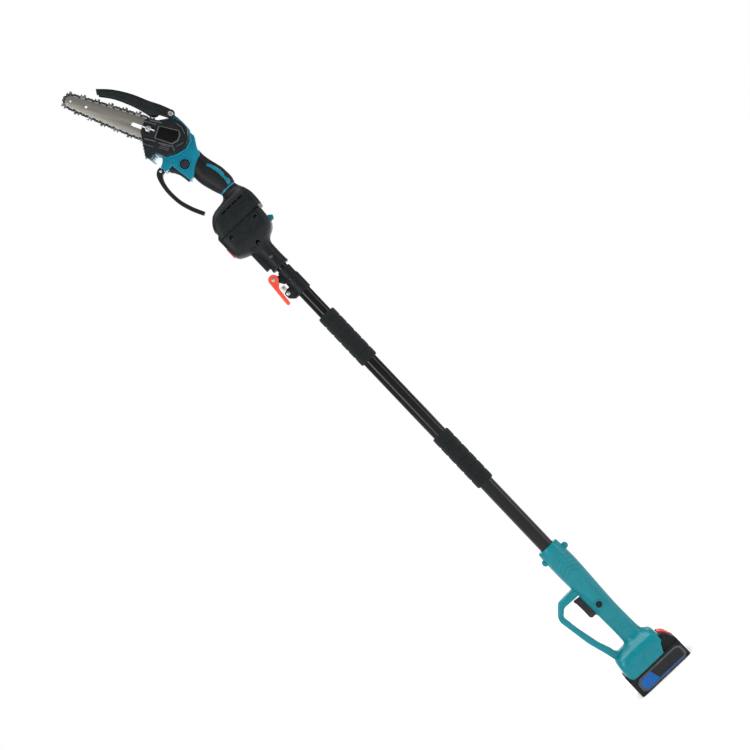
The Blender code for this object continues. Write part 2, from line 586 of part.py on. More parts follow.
pivot_x, pivot_z = saw(*GUARD_PIVOT_AT)
lock_x, lock_z = saw(8.4, 177.5)
hand_screw_x, hand_screw_z = saw(-32.3, 200.5)

spikes = [saw(-14, 257)]
for k in range(5):
    spikes += [saw(-21 - 3 * k, 257 - 5 * k), saw(-25.5 - 3 * k, 253.5 - 5 * k), saw(-21.6 - 3 * k, 252.6 - 5 * k)]
spikes += [saw(-30, 228), saw(-14, 236)]
casing_solids = [
    plate("trigger_case", trigger_case, -CASE_Y, CASE_Y),
    loft("handle_core", saw_sections([
        (79, 21, 48.5, 13, 2.6), (83, 20, 49, 13.2, 2.6), (92.3, 21, 49, 13.5, 2.6), (110, 15, 52, 15, 2.6),
        (130, 9.5, 50, 16, 2.6), (145, 7.5, 46.5, 16, 2.6), (170, 10, 41, 15, 2.6), (185, 12, 42, 14.5, 2.6)])),
    plate("spike_row", spikes, -21.8, -13),
    rod("bar_pad", (stud_x, -27.7, stud_z), "Y", 8, 7, sides=20),
    rod("guard_lug", (pivot_x, -30.5, pivot_z), "Y", 12, 5.5, sides=16),
    box("guard_lug_root", (pivot_x - 3, -26, pivot_z - 9), (pivot_x + 4, -18, pivot_z + 2)),
    plate("hand_guard_tongue", circle((hand_screw_x, hand_screw_z), 4.2, 12), -2.4, 2.4),
    box("hand_guard_tongue_root", (hand_screw_x, -2.4, hand_screw_z - 3.5), (hand_screw_x + 11, 2.4, hand_screw_z + 3.5)),
]
core_hollow = loft("core_hollow", saw_sections([
    (76, 24, 45.5, 10, 2.6), (92, 24, 46, 10.5, 2.6), (110, 18, 49, 12, 2.6), (130, 12.5, 47, 13, 2.6),
    (150, 11, 42.5, 13, 2.6), (172, 14, 38, 12, 2.6)]))
ring = loft("neck_ring", saw_sections([(91.3, 18.3, 51.2, 15.8, 2.4), (94, 17.8, 51.8, 16.2, 2.4)]))
casing_tools = [
    plate("housing_hollow", housing_hollow, HOUSING_Y[0] + WALL, HOUSING_Y[1] - WALL),
    plate("trigger_hollow", trigger_hollow, -CASE_Y + WALL, CASE_Y - WALL),
    core_hollow,
]
casing_holes = [
    rod("bearing_hole", (shaft_x, -30, shaft_z), "Y", 12, 9.3),
    rod("stud_hole", (stud_x, -30, stud_z), "Y", 14, 2.8, sides=12),
    rod("saw_lock_hole", (lock_x, -20, lock_z), "Y", 10, 8),
    rod("guard_screw_hole", (pivot_x, -33, pivot_z), "Y", 12, 2.1, sides=12),
    rod("hand_screw_hole", (hand_screw_x, -10, hand_screw_z), "Y", 20, 1.8, sides=12),
    plate("saw_trigger_slot", saw_outline([(-26, 192), (-12, 197), (6, 195), (6, 152.5), (-8, 148)]), -6.9, 6.9),
]
for side in SIDES:
    shell = plate(f"saw_shell_{side}", housing, *HOUSING_Y, "teal_plastic")
    join(shell, *casing_solids, ring)
    cut(shell, *casing_tools, *casing_holes, half_spaces[side])

grip = loft("saw_grip_sleeve", saw_sections([
    (94.3, 17.5, 52, 16.5, 2.4), (102, 14.5, 54.3, 17.5, 2.4), (110, 11.6, 55, 18, 2.4), (130, 6, 53.7, 19, 2.4),
    (145, 4, 50, 19, 2.4), (148.5, 4.4, 48.8, 18.8, 2.4)]), "black_rubber")
cut(grip, loft("grip_bore", saw_sections([
    (92, 20.4, 49.5, 14.1, 2.6), (110, 14.6, 52.4, 15.4, 2.6), (130, 9.1, 50.4, 16.4, 2.6),
    (145, 7.1, 46.9, 16.4, 2.6), (152, 7.3, 45.6, 16.3, 2.6)])))

saw_block = box("saw_contact_block", (-20, -14, SEAM_Z + 19), (18, 14, SEAM_Z + 26), "black_plastic", bevel=0.6)
join(saw_block, box("saw_blade_left", (-14, -8.9, SEAM_Z + 7), (9, -8.1, SEAM_Z + 20)),
     box("saw_blade_right", (-14, 8.1, SEAM_Z + 7), (9, 8.9, SEAM_Z + 20)))

saw_trigger = plate("saw_trigger", saw_outline([
    (1, 190.5), (-11, 191.5, 2), (-22.5, 188.5, 1), (-17, 182), (-12, 172), (-9.8, 160), (-9, 151.5, 1), (-5.2, 151.5),
    (1, 154)]),
    -6.5, 6.5, "black_plastic", pivot=(*saw(-8, 0)[:1], 0, saw(0, 172)[1]))
spring_x, spring_z = saw(-3, 165)
cut(saw_trigger, rod("saw_trigger_spring_well", (spring_x, 0, spring_z), "X", 8, 3.4, sides=12))
coil("saw_trigger_spring", (spring_x + 0.3, 0, spring_z), "X", 13.5, 2.4, 0.7, 4, "steel")
box("saw_switch", (spring_x + 14.2, -7, spring_z - 3), (spring_x + 30, 8, spring_z + 4), "black_plastic", bevel=0.6)
rod("saw_lock_button", (lock_x, -19.4, lock_z), "Y", 10.4, 7.6, "black_plastic", pivot=(lock_x, 0, lock_z))

hand_guard = plate("hand_guard", saw_outline([
    (-28.2, 207, 1), (-36, 206.5, 7), (-44, 199, 10), (-48.5, 186, 12), (-52, 162), (-50.5, 135.5), (-42, 110),
    (-31.5, 88.5, 3), (-23.5, 88, 3), (-34.5, 112), (-42.7, 136), (-44.2, 162), (-40.8, 184, 8), (-36, 192, 4),
    (-28.2, 194.5)]), -6, 6, "black_plastic")
cut(hand_guard,
    plate("hand_guard_slot", circle((hand_screw_x, hand_screw_z), 4.7, 12), -2.8, 2.8),
    box("hand_guard_slot_root", (hand_screw_x, -2.8, hand_screw_z - 4), (hand_screw_x + 12, 2.8, hand_screw_z + 4)),
    rod("hand_guard_screw_hole", (hand_screw_x, -10, hand_screw_z), "Y", 20, 1.8, sides=12))
hand_screw = rod("hand_guard_screw", (hand_screw_x, -6.3, hand_screw_z), "Y", 11, 1.5, "steel", sides=12)
join(hand_screw, rod("hand_screw_head", (hand_screw_x, -8.2, hand_screw_z), "Y", 1.9, 2.9, sides=12))


# ---- saw: motor, gears, bar and chain ---------------------------------------------------------------------


def gear_outline(centre, teeth, first_tooth):
    """A spur gear with straight-flanked teeth, cut a little thin so that a pair runs with backlash."""
    pitch_r = GEAR_MODULE * teeth / 2
    step = 2 * pi / teeth
    flanks = [(-0.27, -1.15), (-0.13, 0.75), (0.13, 0.75), (0.27, -1.15)]
    points = []
    for k in range(teeth):
        for across, out in flanks:
            turn = first_tooth + (k + across) * step
            radius = pitch_r + out * GEAR_MODULE
            points.append((centre[0] + radius * cos(turn), centre[1] + radius * sin(turn)))
    return points


GEAR_Y = (-16.5, -11.5)
drive_gear = plate("drive_gear", gear_outline((shaft_x, shaft_z), GEAR_TEETH, MOTOR_ANGLE), *GEAR_Y, "dark_steel",
                   holes=[circle((shaft_x, shaft_z), 4.3)], pivot=(shaft_x, 0, shaft_z))
first_gap = MOTOR_ANGLE + pi + pi / PINION_TEETH
rotor = plate("motor_rotor", gear_outline((motor_x, motor_z), PINION_TEETH, first_gap), GEAR_Y[0], -9, "dark_steel",
              pivot=(motor_x, 0, motor_z))
join(
    rotor,
    rod("rotor_shaft", (motor_x, -12, motor_z), "Y", 36, 2.4, sides=16),
    rod("rotor_stack", (motor_x, -1, motor_z), "Y", 23, 11, sides=20),
)
turned(
    "motor_can",
    [(17.2, 28.5), (17.2, -6), (3, -6), (3, -3.5), (12.2, -3.5), (12.2, 26.5), (6, 26.5), (6, 28.5)],
    "steel", centre=(motor_x, motor_z), along_y=True, sides=24,
)
rod("drive_shaft", (shaft_x, -34, shaft_z), "Y", 25, 4, "steel", pivot=(shaft_x, 0, shaft_z), sides=16)
bearing_profile = [(9, -17.4), (9, -22.2), (4.3, -22.2), (4.3, -17.4)]
turned("shaft_bearing", bearing_profile, "steel", centre=(shaft_x, shaft_z), along_y=True, sides=20)
sprocket_points = []
for k in range(12):
    angle = pi * k / 6
    reach = 11.6 if k % 2 else 9.6
    sprocket_points.append((shaft_x + reach * cos(angle), shaft_z + reach * sin(angle)))
BAR_Y, CHAIN_Y = (-31, -28), (-32.3, -26.7)
plate("drive_sprocket", sprocket_points, CHAIN_Y[0], CHAIN_Y[1], "steel", holes=[circle((shaft_x, shaft_z), 4.3)],
      pivot=(shaft_x, 0, shaft_z))


def along_bar(along, across):
    """A point along the bar from the sprocket's centre towards the nose, and across it towards the back."""
    lean_sin, lean_cos = sin(BAR_LEAN), cos(BAR_LEAN)
    return (shaft_x - along * lean_sin + across * lean_cos, shaft_z + along * lean_cos + across * lean_sin)


SPROCKET_CLEAR, BAR_BELLY, BELLY_ALONG = 12.2, 18.6, 52


def half_width(along):
    """Half the space inside the chain: from the sprocket out to the belly of the bar, and in to its nose."""
    if along < BELLY_ALONG:
        return SPROCKET_CLEAR + (BAR_BELLY - SPROCKET_CLEAR) * sin(pi / 2 * along / BELLY_ALONG)
    share = (along - BELLY_ALONG) / (BAR_NOSE_ALONG - BELLY_ALONG)
    return BAR_BELLY + (BAR_NOSE_R + 0.4 - BAR_BELLY) * (0.72 * share + 0.28 * share * share)


def loop_outline(grow, start_along=None):
    """The closed line a little outside (grow > 0) the space inside the chain; start_along cuts off the tail."""
    first = start_along if start_along is not None else 0
    stations = [first + (BAR_NOSE_ALONG - first) * i / 10 for i in range(11)]
    upper = [along_bar(s, half_width(s) + grow) for s in stations[:-1]]
    nose = [along_bar(BAR_NOSE_ALONG + (BAR_NOSE_R + 0.4 + grow) * cos(t), (BAR_NOSE_R + 0.4 + grow) * sin(t))
            for t in (radians(84 - 21 * i) for i in range(9))]
    lower = [along_bar(s, -half_width(s) - grow) for s in reversed(stations[:-1])]
    tail = []
    if start_along is None:
        tail = [along_bar((SPROCKET_CLEAR + grow) * cos(t), (SPROCKET_CLEAR + grow) * sin(t))
                for t in (radians(-114 - 22 * i) for i in range(7))]
    return upper + nose + lower + tail


def slot_outline(first, last, radius):
    ends = [along_bar(first + radius * cos(t), radius * sin(t)) for t in (radians(90 + 30 * i) for i in range(7))]
    ends += [along_bar(last + radius * cos(t), radius * sin(t)) for t in (radians(-90 + 30 * i) for i in range(7))]
    return ends


def bar_circle(along, across, radius, steps=12):
    return circle(along_bar(along, across), radius, steps)


plate("guide_bar", loop_outline(-0.4, 20), *BAR_Y, "bar_steel",
      holes=[slot_outline(29, 64, 3.6), bar_circle(155.6, 0, 2.4), bar_circle(BAR_NOSE_ALONG, 0, 1.8)])
plate("saw_chain", loop_outline(4.6), *CHAIN_Y, "dark_steel", holes=[loop_outline(0)])

rod("bar_stud", (stud_x, -52, stud_z), "Y", 34, 2.5, "steel", sides=12)
wing_nut = rod("wing_nut", (stud_x, -50.5, stud_z), "Y", 6.1, 5.5, "steel", pivot=(stud_x, 0, stud_z), sides=20)
wing = [along_bar(STUD_ALONG + a, b) for a, b in
        ((-12.5, -1.3), (12.5, -1.3), (12.5, 1.3), (-12.5, 1.3))]
join(wing_nut, plate("nut_wings", wing, -54.5, -46.5))
cut(wing_nut, rod("nut_bore", (stud_x, -60, stud_z), "Y", 20, 2.8, sides=12))

COVER_Y = (-44, -22.3)
cover_outline = saw_outline([
    (12.7, 282, 4), (-9, 271, 8), (-17, 258, 6), (-34, 231, 3), (-30, 222.5, 3), (-20, 226, 2), (-18.5, 231, 1),
    (-7.6, 208.5, 3), (9, 200, 6), (29, 195, 8), (44, 201.5, 8), (56, 217, 8), (56, 234, 6), (51, 246.5, 4),
    (31, 260.5, 4)])
cover_hollow = saw_outline([
    (12, 278.5, 3), (-7, 268.5, 6), (-14.5, 256, 4), (-18, 246, 3), (-14, 232, 3), (-5, 211, 3), (10, 203, 5),
    (29, 198, 8), (42.5, 204, 8), (53, 218, 8), (53, 233, 6), (48.5, 244.5, 3), (29, 258, 4)])
cover = plate("sprocket_cover", cover_outline, *COVER_Y, "black_plastic")
chain_way = [along_bar(a, b) for a, b in ((12, 10), (12, 27), (80, 27), (80, -25.5), (30, -25.5), (30, 10))]
cut(cover, plate("cover_hollow", cover_hollow, COVER_Y[0] + 2.6, -10),
    plate("chain_way", chain_way, -35, -10))
join(cover, rod("cover_boss", (stud_x, -43, stud_z), "Y", 11.7, 7, sides=20))
cut(cover, rod("cover_stud_hole", (stud_x, -60, stud_z), "Y", 50, 2.8, sides=12))


# ---- saw: chain guard -------------------------------------------------------------------------------------

NEAR_WALL_Y, FAR_WALL_Y = (-41, -38.6), (-19.4, -17)
guard_outline = saw_outline([
    (60, 258, 6), (57, 268), (39.5, 303), (25.5, 333), (6, 362.5), (-15, 384, 1), (-21, 374.5, 1), (-3, 350),
    (13, 315), (23, 279, 2), (36, 269, 5), (45.5, 252, 5), (52, 249.5, 4)])
guard_channel = saw_outline([
    (80, 274.6), (51.2, 274.6), (37, 302), (23.2, 331.8), (4, 360.5), (-18.5, 383), (-60, 383), (-60, 240), (80, 240)])
guard_end = saw_outline([(80, 274.6), (20, 274.6), (20, 240), (80, 240)])
guard = plate("chain_guard", guard_outline, NEAR_WALL_Y[0], FAR_WALL_Y[1], "black_plastic",
              pivot=(pivot_x, 0, pivot_z))
cut(guard, plate("guard_channel", guard_channel, NEAR_WALL_Y[1], FAR_WALL_Y[0]),
    plate("guard_end_gap", guard_end, NEAR_WALL_Y[1], 0))
cut(guard, rod("guard_bore", (pivot_x, -50, pivot_z), "Y", 20, 2.1, sides=12))
guard_screw = rod("chain_guard_screw", (pivot_x, -42, pivot_z), "Y", 18, 1.8, "steel", sides=12)
join(guard_screw, rod("guard_screw_head", (pivot_x, -43.6, pivot_z), "Y", 2.3, 4.6, sides=16))
coil("chain_guard_spring", (pivot_x, -38.2, pivot_z), "Y", 7.2, 4, 0.8, 4, "steel")
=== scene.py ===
"""Telescoping pole saw, standing on its battery: looks, stage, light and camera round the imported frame."""

from math import acos, atan2, ceil, cos, pi, radians, sin, tan

import bmesh
import bpy
from mathutils import Matrix, Vector


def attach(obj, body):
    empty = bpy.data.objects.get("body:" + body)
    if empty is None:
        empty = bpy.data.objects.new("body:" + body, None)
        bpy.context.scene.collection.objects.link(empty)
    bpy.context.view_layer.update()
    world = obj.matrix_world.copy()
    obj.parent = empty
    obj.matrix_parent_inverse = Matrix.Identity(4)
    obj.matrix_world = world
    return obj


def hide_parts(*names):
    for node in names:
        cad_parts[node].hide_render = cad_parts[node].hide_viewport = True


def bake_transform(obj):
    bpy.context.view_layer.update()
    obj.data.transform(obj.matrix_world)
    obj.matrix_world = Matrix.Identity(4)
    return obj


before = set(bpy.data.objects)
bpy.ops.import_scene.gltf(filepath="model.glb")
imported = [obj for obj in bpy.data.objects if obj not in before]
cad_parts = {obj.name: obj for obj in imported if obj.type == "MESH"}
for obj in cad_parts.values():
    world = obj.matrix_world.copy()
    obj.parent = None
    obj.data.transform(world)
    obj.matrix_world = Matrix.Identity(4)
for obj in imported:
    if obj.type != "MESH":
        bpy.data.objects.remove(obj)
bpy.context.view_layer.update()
scene = bpy.context.scene


# ---- Studio ------------------------------------------------------------------------------------------------
# A pale seamless floor under a pale room, three soft boxes, and a long lens that looks level across the tool
# and is rolled so that the pole runs from corner to corner.

MM = 0.001
FLOOR_TONE = 0.9
ROOM_GLOW, WALL_GLOW = 0.34, 1.0  # what the room lights the tool with, and how bright its far wall looks
FLOOR_LIFT = 1.08  # how much brighter the lit floor is than the far wall


def feed(tree, node, values):
    """Sets a node's inputs, by name or number; another node's output is linked to its input."""
    for socket, value in values.items():
        if isinstance(value, bpy.types.NodeSocket):
            tree.links.new(value, node.inputs[socket])
        else:
            node.inputs[socket].default_value = value
    return node


def add_node(tree, kind, values, **settings):
    """A new shader node with its settings, then its inputs."""
    node = tree.nodes.new("ShaderNode" + kind)
    for setting, value in settings.items():
        setattr(node, setting, value)
    return feed(tree, node, values)


floor_mesh = bmesh.new()
bmesh.ops.create_grid(floor_mesh, x_segments=1, y_segments=1, size=30)
floor_data = bpy.data.meshes.new("studio_floor")
floor_mesh.to_mesh(floor_data)
floor_mesh.free()
studio_floor = bpy.data.objects.new("studio_floor", floor_data)
scene.collection.objects.link(studio_floor)
floor_paint = bpy.data.materials.new("studio_floor_paint")
floor_paint.use_nodes = True
feed(floor_paint.node_tree, floor_paint.node_tree.nodes["Principled BSDF"],
     {"Base Color": (FLOOR_TONE, FLOOR_TONE, FLOOR_TONE, 1), "Roughness": 0.9, "Specular IOR Level": 0.1})
floor_data.materials.append(floor_paint)

room = bpy.data.worlds.new("pale_room")
room.use_nodes = True
room_tree = room.node_tree
room_glow = feed(room_tree, room_tree.nodes["Background"], {"Color": (1, 1, 1, 1), "Strength": ROOM_GLOW})
wall_glow = add_node(room_tree, "Background", {"Color": (1, 1, 1, 1), "Strength": WALL_GLOW})
seen = add_node(room_tree, "LightPath", {})
room_mix = add_node(room_tree, "MixShader", {"Fac": seen.outputs["Is Camera Ray"], 1: room_glow.outputs["Background"],
                                             2: wall_glow.outputs["Background"]})
feed(room_tree, room_tree.nodes["World Output"], {"Surface": room_mix.outputs["Shader"]})
scene.world = room
scene.view_settings.view_transform = "Standard"

# The ceiling bank is wide and high, so it brightens the whole floor evenly, a little past the wall's tone.
ceiling = bpy.data.lights.new("ceiling_bank", "SUN")
ceiling.angle = radians(50)
ceiling.energy = (FLOOR_LIFT * WALL_GLOW / FLOOR_TONE - ROOM_GLOW) * pi
ceiling_holder = bpy.data.objects.new("ceiling_bank", ceiling)
scene.collection.objects.link(ceiling_holder)


def soft_box(name, place, aim, size, power):
    """A rectangular studio light at place, turned to aim; size is (width, height)."""
    lamp = bpy.data.lights.new(name, "AREA")
    lamp.shape = "RECTANGLE"
    lamp.size, lamp.size_y = size
    lamp.energy = power
    holder = bpy.data.objects.new(name, lamp)
    holder.location = place
    holder.rotation_euler = (Vector(aim) - Vector(place)).to_track_quat("-Z", "Y").to_euler()
    scene.collection.objects.link(holder)


soft_box("key_box", (-1.5, -1.9, 1.5), (0, 0, 0.8), (0.9, 2.0), 30)
soft_box("edge_box", (1.9, -0.7, 1.0), (0, 0, 0.8), (0.3, 2.2), 10)
soft_box("back_box", (0.3, 2.2, 1.6), (0, 0, 0.9), (1.0, 2.0), 14)

CAMERA_AT, CAMERA_AIM = Vector((0.02, -3.0, 0.68)), Vector((-0.012, 0, 0.752))
POLE_ANGLE = radians(133.5)  # of the pole's top end in the picture, from its right-hand side
lens = bpy.data.cameras.new("studio_camera")
lens.sensor_width = 36
lens.lens = 79
lens.clip_end = 100
camera = bpy.data.objects.new("studio_camera", lens)
upright = (CAMERA_AIM - CAMERA_AT).to_track_quat("-Z", "Y")
camera.rotation_euler = (upright.to_matrix() @ Matrix.Rotation(pi / 2 - POLE_ANGLE, 3, "Z")).to_euler()
camera.location = CAMERA_AT
scene.collection.objects.link(camera)
scene.camera = camera


# ---- Battery tub -------------------------------------------------------------------------------------------
# The battery's lower case is an open tub of black glass-filled nylon, with a raised panel on each side for
# its label. It is injection moulded, so its corners are rounded and its skin has a fine sparked grain.


def rounded(corners, step=8):
    """The outline through corners (x, z) or (x, z, radius), with an arc at each corner that has a radius."""
    outline = []
    for i, corner in enumerate(corners):
        here = Vector(corner[:2])
        if len(corner) == 2:
            outline.append(tuple(here))
            continue
        back = (Vector(corners[i - 1][:2]) - here).normalized()
        on = (Vector(corners[(i + 1) % len(corners)][:2]) - here).normalized()
        opening = acos(max(-1, min(1, back.dot(on))))
        inset = corner[2] / tan(opening / 2)
        first, last = here + back * inset, here + on * inset
        centre = here + (back + on).normalized() * corner[2] / sin(opening / 2)
        start = atan2(*reversed(first - centre))
        turn = (atan2(*reversed(last - centre)) - start + pi) % (2 * pi) - pi
        steps = max(1, ceil(abs(turn) / radians(step)))
        for k in range(steps + 1):
            angle = start + turn * k / steps
            outline.append((centre[0] + corner[2] * cos(angle), centre[1] + corner[2] * sin(angle)))
    return outline


def block(low, high, edge=0, segments=3):
    """A box in millimetres with rounded edges."""
    work = bmesh.new()
    bmesh.ops.create_cube(work, size=1)
    bmesh.ops.scale(work, vec=[b - a for a, b in zip(low, high)], verts=work.verts)
    bmesh.ops.translate(work, vec=[(a + b) / 2 for a, b in zip(low, high)], verts=work.verts)
    if edge:
        round_off(work, work.edges[:], edge, segments)
    return work


def round_off(work, edges, radius, segments=3):
    """Rounds edges of a bench mesh by a radius."""
    bmesh.ops.bevel(work, geom=edges, offset=radius, offset_type="OFFSET", segments=segments, profile=0.5,
                    affect="EDGES", material=-1, clamp_overlap=True)


def slab(outline, low_y, high_y, edge=0, segments=3):
    """A flat outline in (x, z), thick from low_y to high_y, with both rims rounded."""
    work = bmesh.new()
    corners = [work.verts.new((x, low_y, z)) for x, z in outline]
    face = work.faces.new(corners)
    raised = bmesh.ops.extrude_face_region(work, geom=[face])
    moved = [part for part in raised["geom"] if isinstance(part, bmesh.types.BMVert)]
    bmesh.ops.translate(work, vec=(0, high_y - low_y, 0), verts=moved)
    bmesh.ops.recalc_face_normals(work, faces=work.faces)
    if edge:
        rims = [e for e in work.edges if abs(e.verts[0].co.y - e.verts[1].co.y) < 1e-6]
        round_off(work, rims, edge, segments)
    return work


def rod(start, axis, length, radius, edge=0, sides=48):
    """A round bar from start along axis "X", "Y" or "Z", with chamfered ends."""
    work = bmesh.new()
    bmesh.ops.create_cone(work, cap_ends=True, segments=sides, radius1=radius, radius2=radius, depth=length)
    if edge:
        rims = [e for e in work.edges if abs(e.verts[0].co.z - e.verts[1].co.z) < 1e-6]
        round_off(work, rims, edge, 2)
    turn = {"X": (pi / 2, "Y"), "Y": (-pi / 2, "X"), "Z": (0, "Z")}[axis]
    along = {"X": (1, 0, 0), "Y": (0, 1, 0), "Z": (0, 0, 1)}[axis]
    bmesh.ops.rotate(work, matrix=Matrix.Rotation(turn[0], 3, turn[1]), verts=work.verts)
    bmesh.ops.translate(work, vec=Vector(start) + Vector(along) * length / 2, verts=work.verts)
    return work


def bench_object(work):
    """Turns a bench mesh into an object that a Boolean can use."""
    bmesh.ops.remove_doubles(work, verts=work.verts, dist=1e-5)
    bmesh.ops.recalc_face_normals(work, faces=work.faces)
    mesh = bpy.data.meshes.new("bench")
    work.to_mesh(mesh)
    work.free()
    obj = bpy.data.objects.new("bench", mesh)
    scene.collection.objects.link(obj)
    return obj


def fit(body, operation, tools):
    """Joins ("UNION") or cuts ("DIFFERENCE") a bench mesh with others, which are used up."""
    held = bench_object(body)
    used = [bench_object(tool) for tool in tools]
    for tool in used:
        step = held.modifiers.new("fit", "BOOLEAN")
        step.operation = operation
        step.solver = "EXACT"
        step.object = tool
    bpy.context.view_layer.update()
    mesh = bpy.data.meshes.new_from_object(held.evaluated_get(bpy.context.evaluated_depsgraph_get()))
    result = bmesh.new()
    result.from_mesh(mesh)
    for spent in (held, *used):
        old = spent.data
        bpy.data.objects.remove(spent)
        bpy.data.meshes.remove(old)
    bpy.data.meshes.remove(mesh)
    return result


def piece(name, work, finish, body, stands_for=(), edge=0, edge_segments=2, sharp=30):
    """A finished piece from a bench mesh in millimetres; edge rounds its leftover sharp edges."""
    bmesh.ops.remove_doubles(work, verts=work.verts, dist=1e-4)
    bmesh.ops.recalc_face_normals(work, faces=work.faces)
    bmesh.ops.scale(work, vec=(MM, MM, MM), verts=work.verts)
    mesh = bpy.data.meshes.new(name)
    work.to_mesh(mesh)
    work.free()
    mesh.materials.append(finish)
    mesh.shade_smooth()
    obj = bpy.data.objects.new(name, mesh)
    scene.collection.objects.link(obj)
    if edge:
        rounding = obj.modifiers.new("edge", "BEVEL")
        rounding.width = edge * MM
        rounding.segments = edge_segments
        rounding.limit_method = "ANGLE"
        rounding.angle_limit = radians(sharp)
        rounding.harden_normals = True
        rounding.use_clamp_overlap = True
    else:
        mesh.set_sharp_from_angle(angle=radians(sharp))
    if body:
        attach(obj, body)
    if stands_for:
        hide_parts(*stands_for)
    return obj


def surface(name, dark, light, rough, grain, mottle=(90, 3), metallic=0, stretch=(1, 1, 1), coat=0, edge_wear_and_highlight=0,
            sheen=0, turn=0, gloss=0.5):
    """A finish with patchy colour between dark and light, patchy roughness, and grain as bump.

    mottle is (patches per metre, detail); rough is (lowest, highest); grain lists (bumps per metre, height in mm).
    stretch drags the pattern out along an axis where it is under 1, turned about y by turn. The edge setting lightens
    every edge, partly as wear where hands rub and partly as a painted highlight.
    """
    finish = bpy.data.materials.new(name)
    finish.use_nodes = True
    tree = finish.node_tree
    shader = feed(tree, tree.nodes["Principled BSDF"], {
        "Metallic": metallic, "Specular IOR Level": gloss, "Coat Weight": coat, "Coat Roughness": 0.12,
        "Sheen Weight": sheen})
    where = add_node(tree, "TexCoord", {})
    spread = add_node(tree, "Mapping", {"Vector": where.outputs["Object"], "Rotation": (0, turn, 0),
                                        "Scale": [1 / share for share in stretch]}, vector_type="TEXTURE")

    def noise(scale, detail=2, roughness=0.5):
        cloud = add_node(tree, "TexNoise", {"Vector": spread.outputs["Vector"], "Scale": scale, "Detail": detail,
                                            "Roughness": roughness})
        return cloud.outputs["Fac"]

    patches = add_node(tree, "MapRange", {"Value": noise(*mottle), "From Min": 0.3, "From Max": 0.7})
    tint = add_node(tree, "Mix", {"Factor": patches.outputs["Result"], "A": (*dark, 1), "B": (*light, 1)},
                    data_type="RGBA")
    colour = tint.outputs["Result"]
    if edge_wear_and_highlight:
        # The rounded normal and the true one part only near an edge, which is painted paler: wear and a painted
        # highlight.
        rim = add_node(tree, "Bevel", {"Radius": 0.9 * MM}, samples=4)
        flat = add_node(tree, "NewGeometry", {})
        agree = add_node(tree, "VectorMath", {0: rim.outputs["Normal"], 1: flat.outputs["Normal"]},
                         operation="DOT_PRODUCT")
        wear_and_highlight_mask = add_node(tree, "MapRange", {"Value": agree.outputs["Value"], "From Min": 0.995, "From Max": 0.9,
                                           "To Max": edge_wear_and_highlight})
        wear_and_highlight_tint = add_node(tree, "Mix", {"Factor": wear_and_highlight_mask.outputs["Result"], "A": colour,
                                        "B": (*[min(1, c * 1.8 + 0.05) for c in light], 1)}, data_type="RGBA")
        colour = wear_and_highlight_tint.outputs["Result"]

    polish = add_node(tree, "MapRange", {"Value": noise(mottle[0] * 2.3, 4, 0.6), "From Min": 0.25, "From Max": 0.75,
                                         "To Min": rough[0], "To Max": rough[1]})
    feed(tree, shader, {"Base Color": colour, "Roughness": polish.outputs["Result"]})
    normal = {}
    for scale, height in grain:
        bump = add_node(tree, "Bump", {"Strength": 1, "Distance": height * MM, "Height": noise(scale, 2, 0.6),
                                       **normal})
        normal = {"Normal": bump.outputs["Normal"]}
    feed(tree, shader, normal)
    return finish


case_black = surface("case_black", (0.004, 0.006, 0.007), (0.009, 0.012, 0.0135), (0.38, 0.52),
                     [(2600, 0.05), (240, 0.03)], edge_wear_and_highlight=0.35, gloss=0.2)

BATTERY_FRONT, BATTERY_BACK, BATTERY_SPLIT = -61, 56, 30.15
label_face = [(-52, 8), (-45, 2), (45, 2), (52, 8), (52, 24), (44, 29.5), (-44, 29.5), (-52, 23)]
tub = block((BATTERY_FRONT, -35, 0), (BATTERY_BACK, 35, BATTERY_SPLIT - 0.15))
round_off(tub, [e for e in tub.edges if abs(e.verts[0].co.z - e.verts[1].co.z) > 1], 4.5, 5)
round_off(tub, [e for e in tub.edges if max(v.co.z for v in e.verts) < 0.01], 2.5, 4)
tub = fit(tub, "DIFFERENCE", [block((-58.5, -33, 2.5), (53.5, 33, 40), 2)])
piece("battery_tub", tub, case_black, "battery", ["battery_lower_case"], edge=0.35)


# ---- Battery label panels ----------------------------------------------------------------------------------
# Each side of the tub carries a raised grey frame with a printed film let into it: black, with a blue corner
# and a blue line along the foot. The film is a hair thinner than its recess.

# Also laid on the sprocket cover's ribs, where its paler grey is a painted highlight.
grey_frame_and_rib_highlight = surface("grey_frame_and_rib_highlight", (0.045, 0.047, 0.05), (0.075, 0.078, 0.08), (0.42, 0.55), [(2600, 0.04)],
                     edge_wear_and_highlight=0.3, gloss=0.35)


def film_print(name, black, blue, corner_at, slope, line_top):
    """Printed label film: blue beyond a slanted edge at corner_at and under line_top (millimetres), else black."""
    finish = surface(name, black, black, (0.22, 0.34), [(500, 0.01)], gloss=0.3)
    tree = finish.node_tree
    where = add_node(tree, "TexCoord", {})
    parts = add_node(tree, "SeparateXYZ", {"Vector": where.outputs["Object"]})
    slanted = add_node(tree, "Math", {0: parts.outputs["Z"], 1: slope, 2: parts.outputs["X"]},
                       operation="MULTIPLY_ADD")
    beyond = add_node(tree, "Math", {0: slanted.outputs["Value"], 1: corner_at * MM}, operation="LESS_THAN")
    below = add_node(tree, "Math", {0: parts.outputs["Z"], 1: line_top * MM}, operation="LESS_THAN")
    either = add_node(tree, "Math", {0: beyond.outputs["Value"], 1: below.outputs["Value"]}, operation="MAXIMUM")
    inks = add_node(tree, "Mix", {"Factor": either.outputs["Value"], "A": (*black, 1), "B": (*blue, 1)},
                    data_type="RGBA")
    feed(tree, tree.nodes["Principled BSDF"], {"Base Color": inks.outputs["Result"]})
    return finish


def flank(outward, near, far):
    """The y range between two distances from the middle, on the left (-1) or the right (1), lowest first."""
    return sorted((outward * near, outward * far))


